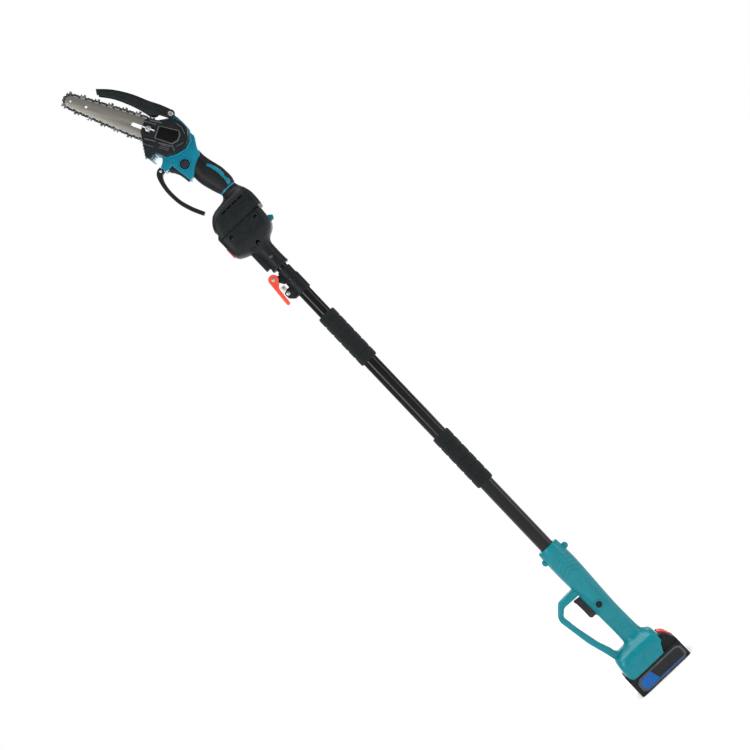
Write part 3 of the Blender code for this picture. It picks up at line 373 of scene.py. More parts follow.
battery_print = film_print("battery_print", (0.006, 0.007, 0.009), (0.0, 0.095, 0.36), -11.7, 0.3, 7)
label_film = rounded([(-47.5, 9.5, 1), (-42.5, 5, 1), (42.5, 5, 1), (47.5, 9.5, 1), (47.5, 22.5, 1), (41, 26.5, 1),
                      (-41, 26.5, 1), (-47.5, 22, 1)])
for side, outward in (("left", -1), ("right", 1)):
    panel = slab(rounded([(*corner, 1.2) for corner in label_face]), *flank(outward, 34.6, 37), 0.9)
    panel = fit(panel, "DIFFERENCE", [slab(label_film, *flank(outward, 36.5, 40))])
    piece(f"battery_panel_{side}", panel, grey_frame_and_rib_highlight, "battery", edge=0.2)
    film = slab(label_film, *flank(outward, 36.4, 36.8), 0.1, 1)
    bmesh.ops.scale(film, vec=(0.992, 1, 0.985), space=Matrix.Translation((0, 0, -15.75)), verts=film.verts)
    piece(f"battery_film_{side}", film, battery_print, "battery")


# ---- Battery lid, rail and latch ---------------------------------------------------------------------------
# The upper case closes the tub. Its rail slides into the handle's foot, with slots for the contact blades, and
# the housing at the back holds the latch. The latch button is red nylon, pushed up by a small steel spring.

BLADE_SLOTS = (-8.5, 8.5)  # where the contact blades run, off the middle
lid = block((BATTERY_FRONT, -34.6, BATTERY_SPLIT + 0.15), (BATTERY_BACK, 34.6, 33.6))
round_off(lid, [e for e in lid.edges if abs(e.verts[0].co.z - e.verts[1].co.z) > 1], 4.5, 5)
latch_house = rounded([(21.6, 32), (21.6, 34), (29.4, 49.2, 2), (37, 54), (37, 62), (40, 62.5, 2), (47, 56.5, 2),
                       (54, 42, 2), (BATTERY_BACK, 37, 1), (BATTERY_BACK, 32)])
lid = fit(lid, "UNION", [
    block((-49.5, -26, 33), (30, 26, 49), 1.2),
    block((BATTERY_FRONT, -28, 32), (-58.3, 28, 46), 0.8),
    slab(latch_house, -30, 30, 1.6, 3),
])
lid = fit(lid, "DIFFERENCE", [
    slab([(38.1, 46), (38.1, 68), (56, 68), (60, 44), (54.8, 44), (50.2, 42.6), (47, 46)], -15.3, 15.3),
    rod((43, 0, 36), "Z", 12, 3.6),
    *(block((-65, y - 1.3, 40), (1, y + 1.3, 52)) for y in BLADE_SLOTS),
    *(block((-52, y - 1.2, 36), (20, y + 1.2, 40.5)) for y in (-26, 26)),
    *(block((-30, y - 3, 45), (-4, y + 3, 52)) for y in (-18, 0, 18)),
])
piece("battery_lid", lid, case_black, "battery", ["battery_upper_case"], edge=0.35)

button_red = surface("button_red", (0.62, 0.022, 0.012), (0.74, 0.035, 0.018), (0.28, 0.42),
                     [(2600, 0.02), (200, 0.04)], coat=0.15, edge_wear_and_highlight=0.25)
latch = slab(rounded([(38.6, 50), (38.6, 65.2, 1), (41, 65.2, 1.5), (49, 58.3, 3), (54, 47.6, 1), (50, 46.6),
                      (47, 50)]), -14.9, 14.9, 0.8)
ridges = []
for k in range(4):
    x, z = 42.6 + 2.3 * k, 63.9 - 2.15 * k
    ridges.append(slab([(x - 0.5, z + 3), (x + 2, z + 3), (x + 0.55, z - 0.7), (x - 0.1, z - 0.1)], -11, 11))
latch = fit(latch, "DIFFERENCE", ridges)
piece("battery_latch", latch, button_red, "battery_latch", ["battery_latch_button"], edge=0.25)

spring_steel = surface("spring_steel", (0.42, 0.42, 0.42), (0.62, 0.61, 0.58), (0.22, 0.38), [(900, 0.01)],
                       metallic=1)
cell_film = surface("cell_film", (0.03, 0.16, 0.3), (0.05, 0.22, 0.38), (0.3, 0.42), [(300, 0.05)], coat=0.3)


def spring(name, node, start, axis, length, radius, wire, turns, finish):
    """A round wire wound from start along an axis."""
    work = bmesh.new()
    sides, per_turn = 8, 24
    rings = []
    for i in range(turns * per_turn + 1):
        turn = 2 * pi * i / per_turn
        along = wire / 2 + (length - wire) * i / (turns * per_turn)
        ring = []
        for k in range(sides):
            swell = 2 * pi * k / sides
            reach = radius + wire / 2 * cos(swell)
            a, b, h = reach * cos(turn), reach * sin(turn), along + wire / 2 * sin(swell)
            shift = {"X": (h, a, b), "Y": (a, h, b), "Z": (a, b, h)}[axis]
            ring.append(work.verts.new([s + d for s, d in zip(start, shift)]))
        rings.append(ring)
    for low, high in zip(rings, rings[1:]):
        for k in range(sides):
            work.faces.new((low[k - 1], low[k], high[k], high[k - 1]))
    work.faces.new(rings[0])
    work.faces.new(rings[-1])
    coil = piece(name, work, finish, None, [node])
    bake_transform(coil)


def dress(node, finish, edge=0.0):
    """Gives a kept CAD solid its finish, and eases its sharp edges."""
    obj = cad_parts[node]
    obj.data.materials.clear()
    obj.data.materials.append(finish)
    if edge:
        easing = obj.modifiers.new("ease", "BEVEL")
        easing.width = edge * MM
        easing.segments = 2
        easing.limit_method = "ANGLE"
        easing.angle_limit = radians(35)


spring("latch_coil", "battery_latch_spring", (43, 0, 36.3), "Z", 13.2, 2.6, 0.8, 6, spring_steel)
dress("battery_cells", cell_film)


# ---- Handle casing -----------------------------------------------------------------------------------------
# Two mirror halves of glossy teal ABS, split down the middle: a foot that grips the battery, the grip, a closed
# finger guard and a collar that clamps the pole. Ribs, a raised frame round the trigger and chevrons under the
# rim are moulded in.


def smooth_path(points, per=6):
    """A smooth run through points, each some numbers, with per steps between two."""
    run = []
    for i in range(len(points) - 1):
        around = [points[min(len(points) - 1, max(0, i + k))] for k in (-1, 0, 1, 2)]
        for t in (step / per for step in range(per)):
            spot = []
            for p0, p1, p2, p3 in zip(*around):
                bend = (2 * p0 - 5 * p1 + 4 * p2 - p3) * t * t + (3 * (p1 - p2) + p3 - p0) * t ** 3
                spot.append(0.5 * (2 * p1 + (p2 - p0) * t + bend))
            run.append(spot)
    run.append(list(points[-1]))
    return run


def lofted(sections, around=96, between=6):
    """A smooth body through level sections (z, front x, back x, half width, squareness); 2 is an ellipse."""
    rows = smooth_path(sections, between)
    for number, row in enumerate(rows[:-1]):
        low, high = sections[number // between][0], sections[number // between + 1][0]
        row[0] = low + (high - low) * (number % between / between)
    work = bmesh.new()
    last = None
    for index, (z, front, back, half, squareness) in enumerate(rows):
        capped = index in (0, len(rows) - 1)
        ring = bmesh.ops.create_circle(work, cap_ends=capped, radius=1, segments=around)["verts"]
        for vertex in ring:
            across, deep = vertex.co.x, vertex.co.y
            x = abs(across) ** (2 / squareness) * (1 if across > 0 else -1)
            y = abs(deep) ** (2 / squareness) * (1 if deep > 0 else -1)
            vertex.co = ((front + back) / 2 + x * (back - front) / 2, y * half, z)
        edges = list({e for v in ring for e in v.link_edges if e.other_vert(v) in ring})
        if last:
            bmesh.ops.bridge_loops(work, edges=last + edges)
        last = edges
    bmesh.ops.recalc_face_normals(work, faces=work.faces)
    return work


def shrunk(sections, by):
    """The same sections, taken in all round; a negative number grows them."""
    return [(z, front + by, back - by, half - by, squareness) for z, front, back, half, squareness in sections]


def standing(place, *rods):
    """Rods along y at a place in (x, z), each given as (first y, length, radius)."""
    return [rod((place[0], first, place[1]), "Y", length, radius) for first, length, radius in rods]


def rim_edges(work, levels):
    """The edges round the flat faces at these y levels."""
    found = []
    for edge in work.edges:
        y = edge.verts[0].co.y
        if abs(y - edge.verts[1].co.y) < 1e-4 and any(abs(y - level) < 1e-3 for level in levels):
            if len(edge.link_faces) == 2 and edge.calc_face_angle(0) > 0.6:
                found.append(edge)
    return found


SPLIT = 0.12  # half the parting line between two casing halves


def halves(name, work, finish, body, nodes, edge=0.3):
    """Splits a casing down the middle into a left (-Y) and a right (+Y) half."""
    for side, node, cleared in (("left", nodes[0], (-SPLIT, 200)), ("right", nodes[1], (-200, SPLIT))):
        half = fit(work.copy(), "DIFFERENCE", [block((-300, cleared[0], -100), (300, cleared[1], 2000))])
        piece(f"{name}_{side}", half, finish, body, [node], edge=edge)
    work.free()


teal = surface("teal", (0.0, 0.185, 0.225), (0.0, 0.212, 0.255), (0.24, 0.34), [(150, 0.05), (1800, 0.006)],
               coat=0.08, edge_wear_and_highlight=0.1, gloss=0.25)
HANDLE_BUTTON = (-3.5, 173.5)
EAR_Z = 291
HANDLE_SCREWS = ((4, 225), (8, 96))
handle_sections = [
    (34, -55.5, 36, 35.5, 7), (48, -57.6, 36.5, 36, 7), (66, -55.8, 36.5, 35, 6), (73, -54, 36, 32.5, 5),
    (78.5, -48, 33.5, 28, 4), (82.5, -30, 28.5, 23.5, 3), (88, -20, 23.5, 19.6, 2.4), (97, -18.2, 21.8, 18.4, 2.2),
    (115, -18, 21, 18, 2.2), (160, -19.5, 20.5, 19, 2.2), (225, -21.5, 23, 20.5, 2.1), (262, -22.8, 24.2, 21.5, 2),
    (298, -22.6, 22.8, 22, 2), (308, -21.8, 21.8, 21.5, 2), (311, -20.4, 20.4, 20.1, 2),
]
guard_outline = rounded([(-12, 225), (-56, 223, 16), (-78, 199.5, 18), (-66.8, 133, 60), (-56, 97, 40),
                         (-51.5, 78), (-45, 70), (-12, 72)])
finger_window = rounded([(-20, 208), (-54, 209, 9), (-66, 198, 9), (-61.6, 167, 60), (-51.4, 122, 60), (-43, 100),
                         (-39.5, 86, 6), (-20, 86), (-15, 90), (-14, 110), (-15, 150), (-18, 159)])
guard = fit(slab(guard_outline, -9.5, 9.5), "DIFFERENCE", [slab(finger_window, -20, 20)])
round_off(guard, rim_edges(guard, (-9.5, 9.5)), 3.4, 4)
casing = fit(lofted(handle_sections), "UNION", [
    guard,
    *(rod((x, -5, EAR_Z), "Y", 10, 6.3, 1.5) for x in (-22.8, 25)),
])


def chevron(tip_z, arm, thick, reach):
    """The outline of a V with its tip up at tip_z, in (x, z)."""
    return [(-reach, tip_z - arm), (0, tip_z), (reach, tip_z - arm), (reach, tip_z - arm - thick), (0, tip_z - thick),
            (-reach, tip_z - arm - thick)]


def skin_tool(outlines, sections, low, high, low_y=-60, high_y=60):
    """Prisms through outlines, kept only between two depths under a lofted skin; a negative depth is proud of it."""
    tool = fit(slab(outlines[0], low_y, high_y), "UNION",
               [slab(outline, low_y, high_y) for outline in outlines[1:]])
    tool = fit(tool, "INTERSECT", [lofted(shrunk(sections, high), 64)])
    return fit(tool, "DIFFERENCE", [lofted(shrunk(sections, low), 64)])


grooves = [chevron(290 - 9 * k, 11, 1.1, 19) for k in range(5)]
trigger_frame = [(-19.7, 217.6), (-13.7, 197.9), (-14.6, 161.2), (-21.7, 159.8), (-24, 158), (-13.5, 159.3),
                 (-12, 198), (-18.5, 219.5)]
side_lines = [
    [(8.2, 217.7), (9.4, 217.7), (10, 161.2), (1, 155.4), (0.4, 156.6), (8.8, 161.6)],
    [(9.4, 152.6), (10, 151.5), (0, 145.9), (-0.6, 147)],
    *(chevron(138 - 8 * k, 7, 1, 12) for k in range(4)),
]
casing = fit(casing, "DIFFERENCE", [
    skin_tool(grooves, handle_sections, 0.7, -3),
    skin_tool(side_lines, handle_sections, 0.5, -3),
    block((-53, -28.5, 20), (90, 28.5, 52.5)),
    block((-70, -28.5, 20), (-50, 28.5, 46.5)),
    slab(rounded([(20.9, 20), (20.9, 34, 2), (28.8, 49.7, 2), (36.1, 54.3, 2), (80, 54.3), (80, 20)]), -60, 60),
    lofted([(52, -53.5, 33, 32, 6), (69, -52, 33, 31.5, 5), (74, -50, 31.5, 29, 4), (79, -33, 26, 22, 3),
            (84, -17, 20.5, 17, 2.4), (110, -15, 18, 15, 2.2), (160, -16.5, 17.5, 16, 2.2),
            (234, -18.5, 19, 17, 2.1)], 48, 2),
    rod((0, 0, 233), "Z", 100, 14.3),
    block((-30, -7.4, 159.5), (-8, 7.4, 208.5), 0.8),
    *standing(HANDLE_BUTTON, (-30, 30, 5.8)),
    *(rod((x, 13, z), "Y", 30, 4.3) for x, z in HANDLE_SCREWS),
])
small_pad = rounded([(-0.3, 87.4, 0.8), (11, 87.4, 0.8), (11, 92.6, 0.8), (-0.3, 92.6, 0.8)])
foot_line = [(-24, 48.5), (-14, 48.5), (-2, 59.5), (21, 59.5), (21, 61), (-2.7, 61), (-14.7, 50), (-24, 50)]
casing = fit(casing, "UNION", [skin_tool([trigger_frame], handle_sections, 1, -0.8),
                               skin_tool([small_pad, foot_line], handle_sections, 1, -0.6)])
halves("handle_casing", casing, teal, "handle", ("handle_shell_left", "handle_shell_right"))

lock_ring = rod((HANDLE_BUTTON[0], -20.6, HANDLE_BUTTON[1]), "Y", 3, 8.6, 0.6)
lock_ring = fit(lock_ring, "DIFFERENCE", standing(HANDLE_BUTTON, (-30, 20, 6.1)))
piece("handle_lock_ring", lock_ring, teal, "handle", edge=0.3)

for work_node in ("handle_switch", "handle_contact_block", "handle_lock_button"):
    dress(work_node, case_black, 0.3)
for screw_node in ("handle_screw_upper", "handle_screw_lower"):
    dress(screw_node, spring_steel, 0.15)

trigger_black = surface("trigger_black", (0.01, 0.0125, 0.016), (0.02, 0.0235, 0.028), (0.34, 0.46),
                        [(2600, 0.03), (260, 0.03)], edge_wear_and_highlight=0.3, gloss=0.28)
pull = slab(rounded([(-14, 204), (-35.3, 206, 2.5), (-33, 199, 5), (-32, 182, 40), (-32.2, 165, 4),
                     (-28.5, 161.5, 2.5), (-14, 161.5)], 5), -7, 7, 1.8, 4)
pull = fit(pull, "DIFFERENCE", [rod((-20, 0, 183), "X", 8, 3.6)])
piece("handle_pull", pull, trigger_black, "trigger", ["handle_trigger"], edge=0.2)
spring("handle_pull_coil", "handle_trigger_spring", (-19.7, 0, 183), "X", 14.4, 2.6, 0.7, 6, spring_steel)


# ---- Pole tubes and coiled lead ----------------------------------------------------------------------------
# Three aluminium tubes painted gloss black. The upper one is fixed in the lower, and the thin inner one slides
# in it on a nylon bush. A coiled rubber lead runs up the middle and stretches as the pole grows.


def turned(profile, sides=96, centre=(0, 0), along_y=False):
    """A closed (radius, height) profile spun about Z, or about a line along Y through centre (x, z)."""
    work = bmesh.new()
    ring = [work.verts.new((radius, 0, height)) for radius, height in profile]
    edges = [work.edges.new((ring[i - 1], ring[i])) for i in range(len(ring))]
    bmesh.ops.spin(work, geom=ring + edges, cent=(0, 0, 0), axis=(0, 0, 1), angle=2 * pi, steps=sides,
                   use_merge=True, use_duplicate=False)
    bmesh.ops.remove_doubles(work, verts=work.verts, dist=1e-4)
    if along_y:
        bmesh.ops.rotate(work, matrix=Matrix.Rotation(-pi / 2, 3, "X"), verts=work.verts)
        bmesh.ops.translate(work, vec=(centre[0], 0, centre[1]), verts=work.verts)
    bmesh.ops.recalc_face_normals(work, faces=work.faces)
    return work


def tube_profile(radius, low, high):
    """A tube 1.2 mm thick with its outer rims broken, as a closed (radius, height) profile."""
    inner, lip = radius - 1.2, 0.35
    return [(inner, low), (radius - lip, low), (radius, low + lip), (radius, high - lip), (radius - lip, high),
            (inner, high)]


tube_black = surface("tube_black", (0.0025, 0.0028, 0.0032), (0.0045, 0.005, 0.0055), (0.12, 0.22),
                     [(260, 0.012), (1400, 0.002)], mottle=(60, 4), stretch=(1, 1, 0.25), coat=0.08, gloss=0.25)
for tube_name, body, radius, low, high in (
    ("lower_tube", "handle", 14, 238, 845),
    ("upper_tube", "handle", 12.5, 790, 990),
    ("inner_tube", "pole_head", 11, 340, 1060),
):
    piece(f"pole_{tube_name}", turned(tube_profile(radius, low, high)), tube_black, body, [tube_name], sharp=40)
dress("inner_tube_bush", case_black)
lead_rubber = surface("lead_rubber", (0.006, 0.006, 0.006), (0.012, 0.012, 0.012), (0.4, 0.55), [(900, 0.02)])
spring("pole_lead", "coiled_lead", (0, 0, 240), "Z", 818, 6, 4.5, 40, lead_rubber)


# ---- Foam grips --------------------------------------------------------------------------------------------
# Two sleeves of black closed-cell foam, pushed over the tubes wet, with five grooves turned into each. Their
# skin shows small open cells.

foam = surface("foam", (0.005, 0.0068, 0.007), (0.0145, 0.0175, 0.018), (0.82, 0.95),
               [(700, 0.22), (2200, 0.12)], mottle=(420, 4), sheen=0.1, gloss=0.15)


def grip_profile(low, high, bore):
    """Up the outside with a rounded band between grooves, then down the bore, a list of (radius, height)."""
    bands = 6
    pitch = (high - low) / bands
    outside = []
    for k in range(bands):
        base = low + pitch * k
        for share, radius in ((0.0, 16.6), (0.03, 17.0), (0.07, 17.5), (0.14, 17.9), (0.3, 18.0), (0.7, 18.0),
                              (0.86, 17.9), (0.93, 17.5), (0.97, 17.0)):
            outside.append((radius, base + pitch * share))
    outside.append((16.6, high))
    return outside + bore


piece("foam_grip_lower", turned(grip_profile(472, 593, [(14.3, 593), (14.3, 472)])), foam, "handle",
      ["grip_lower"], sharp=60)
piece("foam_grip_upper",
      turned(grip_profile(779, 895, [(12.8, 895), (12.8, 847), (14.3, 847), (14.3, 779)])), foam, "handle",
      ["grip_upper"], sharp=60)


# ---- Lever clamp -------------------------------------------------------------------------------------------
# A split nylon collar screwed to the upper tube. Its red lever swings on a steel pin in the upper lug and
# squeezes the collar on the inner tube; a steel plate takes the wear, and a cross screw sets the grip.

LEVER_PIN, COLLAR_SCREW = (-27, 1005), (-24, 968)
collar = turned([(12.8, 952), (14.5, 952), (15.5, 953.5), (15.5, 986.5), (15.1, 987.6), (13.9, 989.5),
                 (13.8, 991), (13.8, 1006.8), (13.2, 1008), (11.3, 1008), (11.3, 990.3), (12.8, 990.3)])
upper_lug = rounded([(-12.7, 985.6), (-17.5, 985.6), (-24, 996, 2), (-31.5, 1003, 4), (-27, 1011, 5),
                     (-21, 1008, 3), (-12.7, 1004)])
lower_lug = rounded([(-13, 976), (-20, 976, 1), (-29.5, 973, 3), (-30, 962, 5), (-24, 956, 4), (-20, 952.6, 1.5),
                     (-13, 953)])
collar = fit(collar, "UNION", [slab(upper_lug, -3.7, 3.7, 0.8), slab(lower_lug, -8.5, 8.5, 1.2)])
collar = fit(collar, "DIFFERENCE", [
    block((-40, -0.7, 940), (-11, 0.7, 1020)),
    block((-15, -20, 983), (2, -9, 985)),
    *standing(LEVER_PIN, (-12, 24, 2.3)),
    *standing(COLLAR_SCREW, (-12, 24, 2.1)),
])
piece("collar", collar, case_black, "handle", ["clamp_collar"], edge=0.35)

lever_red = surface("lever_red", (0.72, 0.05, 0.022), (0.82, 0.075, 0.035), (0.26, 0.4), [(2600, 0.02), (180, 0.05)],
                    coat=0.2, edge_wear_and_highlight=0.3)
EYE_R = 9.6
head_arc = [(LEVER_PIN[0] + EYE_R * cos(turn), LEVER_PIN[1] + EYE_R * sin(turn))
            for turn in (radians(-60 + 6 * i) for i in range(39))]
lever = slab(head_arc + rounded([(-36.6, 1004), (-40.3, 953.5, 3), (-33.4, 951.5, 3), (-30.4, 985, 8),
                                 (-22.2, 996.7)], 10)[1:-1], -8.5, 8.5, 1.3, 4)
lever = fit(lever, "DIFFERENCE", standing(LEVER_PIN, (-4.1, 8.2, 12.5), (-12, 24, 2.3)))
piece("quick_lever", lever, lever_red, "lever", ["clamp_lever"], edge=0.3)

zinc = surface("zinc", (0.5, 0.5, 0.48), (0.68, 0.67, 0.64), (0.2, 0.4), [(500, 0.03)], mottle=(350, 3),
               metallic=1, edge_wear_and_highlight=0.2)


def cross_screw(centre, face_y, radius, height, turn=0.4):
    """The head of a cross-recess screw seen from -Y: a low dome from face_y outwards, with a cross cut in it."""
    dome = turned([(radius, 0), (radius, height * 0.45), (radius * 0.88, height * 0.8), (radius * 0.5, height),
                   (0.05, height * 1.02), (0.05, 0)], 48)
    arms = []
    for quarter in (0, pi / 2):
        arm = block((-radius * 0.62, -radius * 0.13, height * 0.35), (radius * 0.62, radius * 0.13, height * 2))
        bmesh.ops.rotate(arm, matrix=Matrix.Rotation(turn + quarter, 3, "Z"), verts=arm.verts)
        arms.append(arm)
    dome = fit(dome, "DIFFERENCE", arms)
    bmesh.ops.rotate(dome, matrix=Matrix.Rotation(pi / 2, 3, "X"), verts=dome.verts)
    bmesh.ops.translate(dome, vec=(centre[0], face_y, centre[1]), verts=dome.verts)
    return dome


pin = fit(rod((-27, -8.8, 1005), "Y", 17.6, 2, 0.3), "UNION", [cross_screw(LEVER_PIN, -8.7, 3.6, 1.6)])
piece("lever_pivot_pin", pin, zinc, "handle", ["lever_pin"], edge=0.15)
tightener = fit(rod((-24, -10, 968), "Y", 18, 1.8, 0.3), "UNION", [cross_screw(COLLAR_SCREW, -8.7, 3.8, 2.2)])
piece("collar_screw", tightener, zinc, "handle", ["clamp_screw"], edge=0.15)
wear = block((-27.6, -6, 976.6), (-20, 6, 985.5), 0.8)
piece("collar_wear_plate", wear, zinc, "handle", ["clamp_wear_plate"])


# ---- Adapter head ------------------------------------------------------------------------------------------
# The pole's head is shaped like the top of a battery, so that the saw's foot slides onto it. Two satin black
# halves meet over the inner tube's socket, with a red release button in front and a teal pull tab behind.

SEAM = 1121  # where the saw's foot meets the head
SOCKET_SCREWS = {"upper": 1072, "lower": 1038.5}
HEAD_SCREWS = {"front": (-29, 1110), "rear": (28.6, 1107.6)}
head_sections = [
    (1014, -17.4, 17.4, 17.4, 2), (1017, -18, 18, 18, 2), (1020, -17.2, 17.2, 17.2, 2), (1040, -17, 17, 17, 2),
    (1056, -17.6, 17.4, 17.4, 2), (1062, -20, 19, 18.2, 2.1), (1067, -27, 23, 21, 2.4), (1071, -36, 29, 25, 3),
    (1077, -45.5, 37.5, 30, 4), (1085, -49.4, 43.5, 33, 5), (1098, -50, 46, 34, 5.5), (1112, -50, 47, 34, 5.5),
    (1117.5, -49.6, 46.7, 33.8, 5.5), (SEAM - 0.5, -49, 46, 33, 5.5),
]
head = fit(lofted(head_sections), "UNION", [
    block((-36, -26, 1116), (38, 26, 1134), 1.2),
    slab(rounded([(-34, 1112), (-34, 1137, 2), (-38, 1137, 3), (-49.6, 1124, 3), (-49.6, 1112)]), -30, 30, 1.4),
    block((-25.6, -5.5, 1024), (-10, 5.5, 1066), 1.2),
])
side_slot = rounded([(-20, 1113.4, 0.8), (-20, 1111.4, 0.8), (21, 1108.9, 0.8), (21, 1110.9, 0.8)])
bosses = [rod((x, y, z), "Y", 34, 5.4) for x, z in HEAD_SCREWS.values() for y in (-33.6, -0.4)]
head_tools = [
    lofted([(1066, -16, 15, 15, 2.2), (1072, -29, 24, 21, 2.8), (1079, -42, 37, 27, 4), (1088, -46, 42, 30.5, 5),
            (1112, -46, 44, 31, 5), (SEAM - 3.5, -45, 43, 30, 5)], 48, 2),
    rod((0, 0, 1005), "Z", 55.5, 11.3),
    rod((0, 0, 1055), "Z", 20, 8),
    *(block((-17, y - 1.3, 1126), (45, y + 1.3, 1140)) for y in BLADE_SLOTS),
    *(block((-40, y - 1.4, SEAM - 0.4), (60, y + 1.4, SEAM + 4)) for y in (-26, 26)),
    block((-60, -12.3, 1082.7), (-40, 12.3, 1104.3), 0.6),
    block((38, -6.3, 1085), (60, 6.3, 1099), 0.5),
    *(rod((0, -40, z), "Y", 25.5, 4.3) for z in SOCKET_SCREWS.values()),
]
boss_holes = [rod((x, y, z), "Y", 24, 4) for x, z in HEAD_SCREWS.values() for y in (-46, 22)]
for k in range(5):
    z = 1015.2 + 1.35 * k
    head_tools.append(turned([(16.9, z), (19, z - 0.35), (19, z + 0.35)], 96))
head = fit(head, "DIFFERENCE", head_tools)
head = fit(head, "UNION", bosses)
head = fit(head, "DIFFERENCE", boss_holes + [skin_tool([side_slot], head_sections, 1.1, -2, -60, 0)])
halves("head_casing", head, case_black, "pole_head", ("head_shell_left", "head_shell_right"))

screw_black = surface("screw_black", (0.07, 0.07, 0.075), (0.15, 0.15, 0.155), (0.25, 0.4), [(900, 0.02)],
                      metallic=1)
for (name, z), reach in zip(SOCKET_SCREWS.items(), (20, 6)):
    fixing = fit(rod((0, -15.2, z), "Y", reach, 1.5, 0.3), "UNION", [cross_screw((0, z), -14.8, 3.6, 2)])
    piece(f"socket_fixing_{name}", fixing, screw_black, "pole_head", [f"socket_screw_{name}"], edge=0.15)
for name, spot in HEAD_SCREWS.items():
    piece(f"head_screw_{name}", cross_screw(spot, -21.8, 3.4, 1.8, 0.7), screw_black, "pole_head", edge=0.1)

release = block((-51.5, -12, 1083), (-43, 12, 1104), 1.4, 4)
release = fit(release, "UNION", [block((-42.3, -13.6, 1082), (-40.2, 13.6, 1105.5)),
                                 block((-44, -10, 1086), (-41, 10, 1101))])
release = fit(release, "DIFFERENCE", [rod((-51.9, -9, 1088 + 3.2 * k), "Y", 18, 0.8, sides=16) for k in range(4)])
piece("head_release", release, button_red, "head_release", ["head_release_button"], edge=0.2)
spring("head_release_coil", "head_release_spring", (-39.9, 0, 1093.5), "X", 11.7, 3.5, 0.8, 5, spring_steel)
pull_tab = slab(rounded([(40.5, 1085.6), (48, 1086.5, 1), (51, 1086.5, 1), (54.5, 1093, 1.5), (48.5, 1098.4, 1.5),
                         (40.5, 1098.4)]), -5.8, 5.8, 1, 3)
piece("pull_tab", pull_tab, teal, "pole_head", ["head_pull_tab"])
dress("head_contact_block", case_black, 0.3)


# ---- Saw foot ----------------------------------------------------------------------------------------------
# The saw's foot is a black nylon shoe that slides over the head's rail. Its sides are stepped, with a vented
# panel each side, and it narrows to the neck of the grip.


SAW_AT = (-7, 1091)


def on_saw(x, z, *radius):
    """A point of the saw's own drawing, made from its foot up, in the pole's frame."""
    return (x + SAW_AT[0], z + SAW_AT[1], *radius)


def saw_sections(rows):
    """Level sections for lofted(), from the saw's own drawing."""
    return [(z + SAW_AT[1], front + SAW_AT[0], back + SAW_AT[0], half, squareness)
            for z, front, back, half, squareness in rows]


def saw_outline(corners, step=8):
    """An outline with rounded corners, from the saw's own drawing."""
    return rounded([on_saw(*corner) for corner in corners], step)


foot_sections = saw_sections([
    (30, -42, 60, 34.6, 7), (38, -40.4, 61.6, 35, 7), (49, -38, 62, 35, 6.5), (58, -34.5, 62, 34.4, 6),
    (66, -29, 60.4, 32.6, 5), (72.5, -22.5, 58.6, 29.8, 4.4), (76.5, -14, 57, 26.5, 4), (79, 0, 56, 23, 3.4),
    (82, 10, 54.6, 19.6, 3), (86, 15.6, 53, 17.2, 2.6), (91, 18, 51.6, 16, 2.4)])
foot = lofted(foot_sections)
foot = fit(foot, "DIFFERENCE", [
    lofted(saw_sections([(46, -33, 58, 31.5, 6), (62, -27, 57, 29.5, 5), (72, -16, 54, 26, 4), (76, 1, 52, 20, 3.4),
                         (83, 17, 50, 14.8, 2.8), (93, 20.4, 49.5, 14.1, 2.4)]), 48, 2),
    block((-70, -26.6, SEAM - 5), (38.6, 26.6, SEAM + 18)),
    block((-70, -30.8, SEAM - 5), (-33.4, 30.8, SEAM + 17.5)),
])
vent_panel = saw_outline([(-14, 57, 2), (-10, 68, 2), (46, 68, 2), (50, 57, 2), (48, 55.5, 1), (-12, 55.5, 1)])
vents = [saw_outline([(x, 60.6, 1), (x + 11, 60.6, 1), (x + 11, 63.6, 1), (x, 63.6, 1)]) for x in range(-6, 46, 13)]
foot = fit(foot, "UNION", [skin_tool([vent_panel], foot_sections, 1, -0.9)])
foot = fit(foot, "DIFFERENCE", [slab(vent, -60, 60) for vent in vents])
foot = fit(foot, "UNION", [block((-25, -1.2, SEAM + 28.5), (44, 1.2, SEAM + 37))])
seam_step = saw_outline([(-60, 36), (80, 36), (80, 37.4), (-60, 37.4)])
foot = fit(foot, "DIFFERENCE", [skin_tool([seam_step], foot_sections, 0.7, -2)])
piece("saw_foot", foot, case_black, "saw", ["saw_dock"], edge=0.3)
dress("saw_contact_block", case_black, 0.3)


# ---- Saw casing --------------------------------------------------------------------------------------------
# The saw's body is two glossy teal nylon halves: motor housing, trigger housing, handle core with a thin ring at
# the neck, and a row of gripping spikes at the root of the bar. A raised ring frames the lock button.

BAR_LEAN = radians(26.3)
STUD_ALONG = 32
SHAFT = on_saw(18.5, 235)
PIVOT = on_saw(52.5, 257)
BUTTON = on_saw(8.4, 177.5)
GUARD_SCREW = on_saw(-32.3, 200.5)


def along_bar(along, across):
    """A point in (x, z) along the bar from the sprocket's centre to the nose, and across it towards the back."""
    lean_sin, lean_cos = sin(BAR_LEAN), cos(BAR_LEAN)
    return (SHAFT[0] - along * lean_sin + across * lean_cos, SHAFT[1] + along * lean_cos + across * lean_sin)


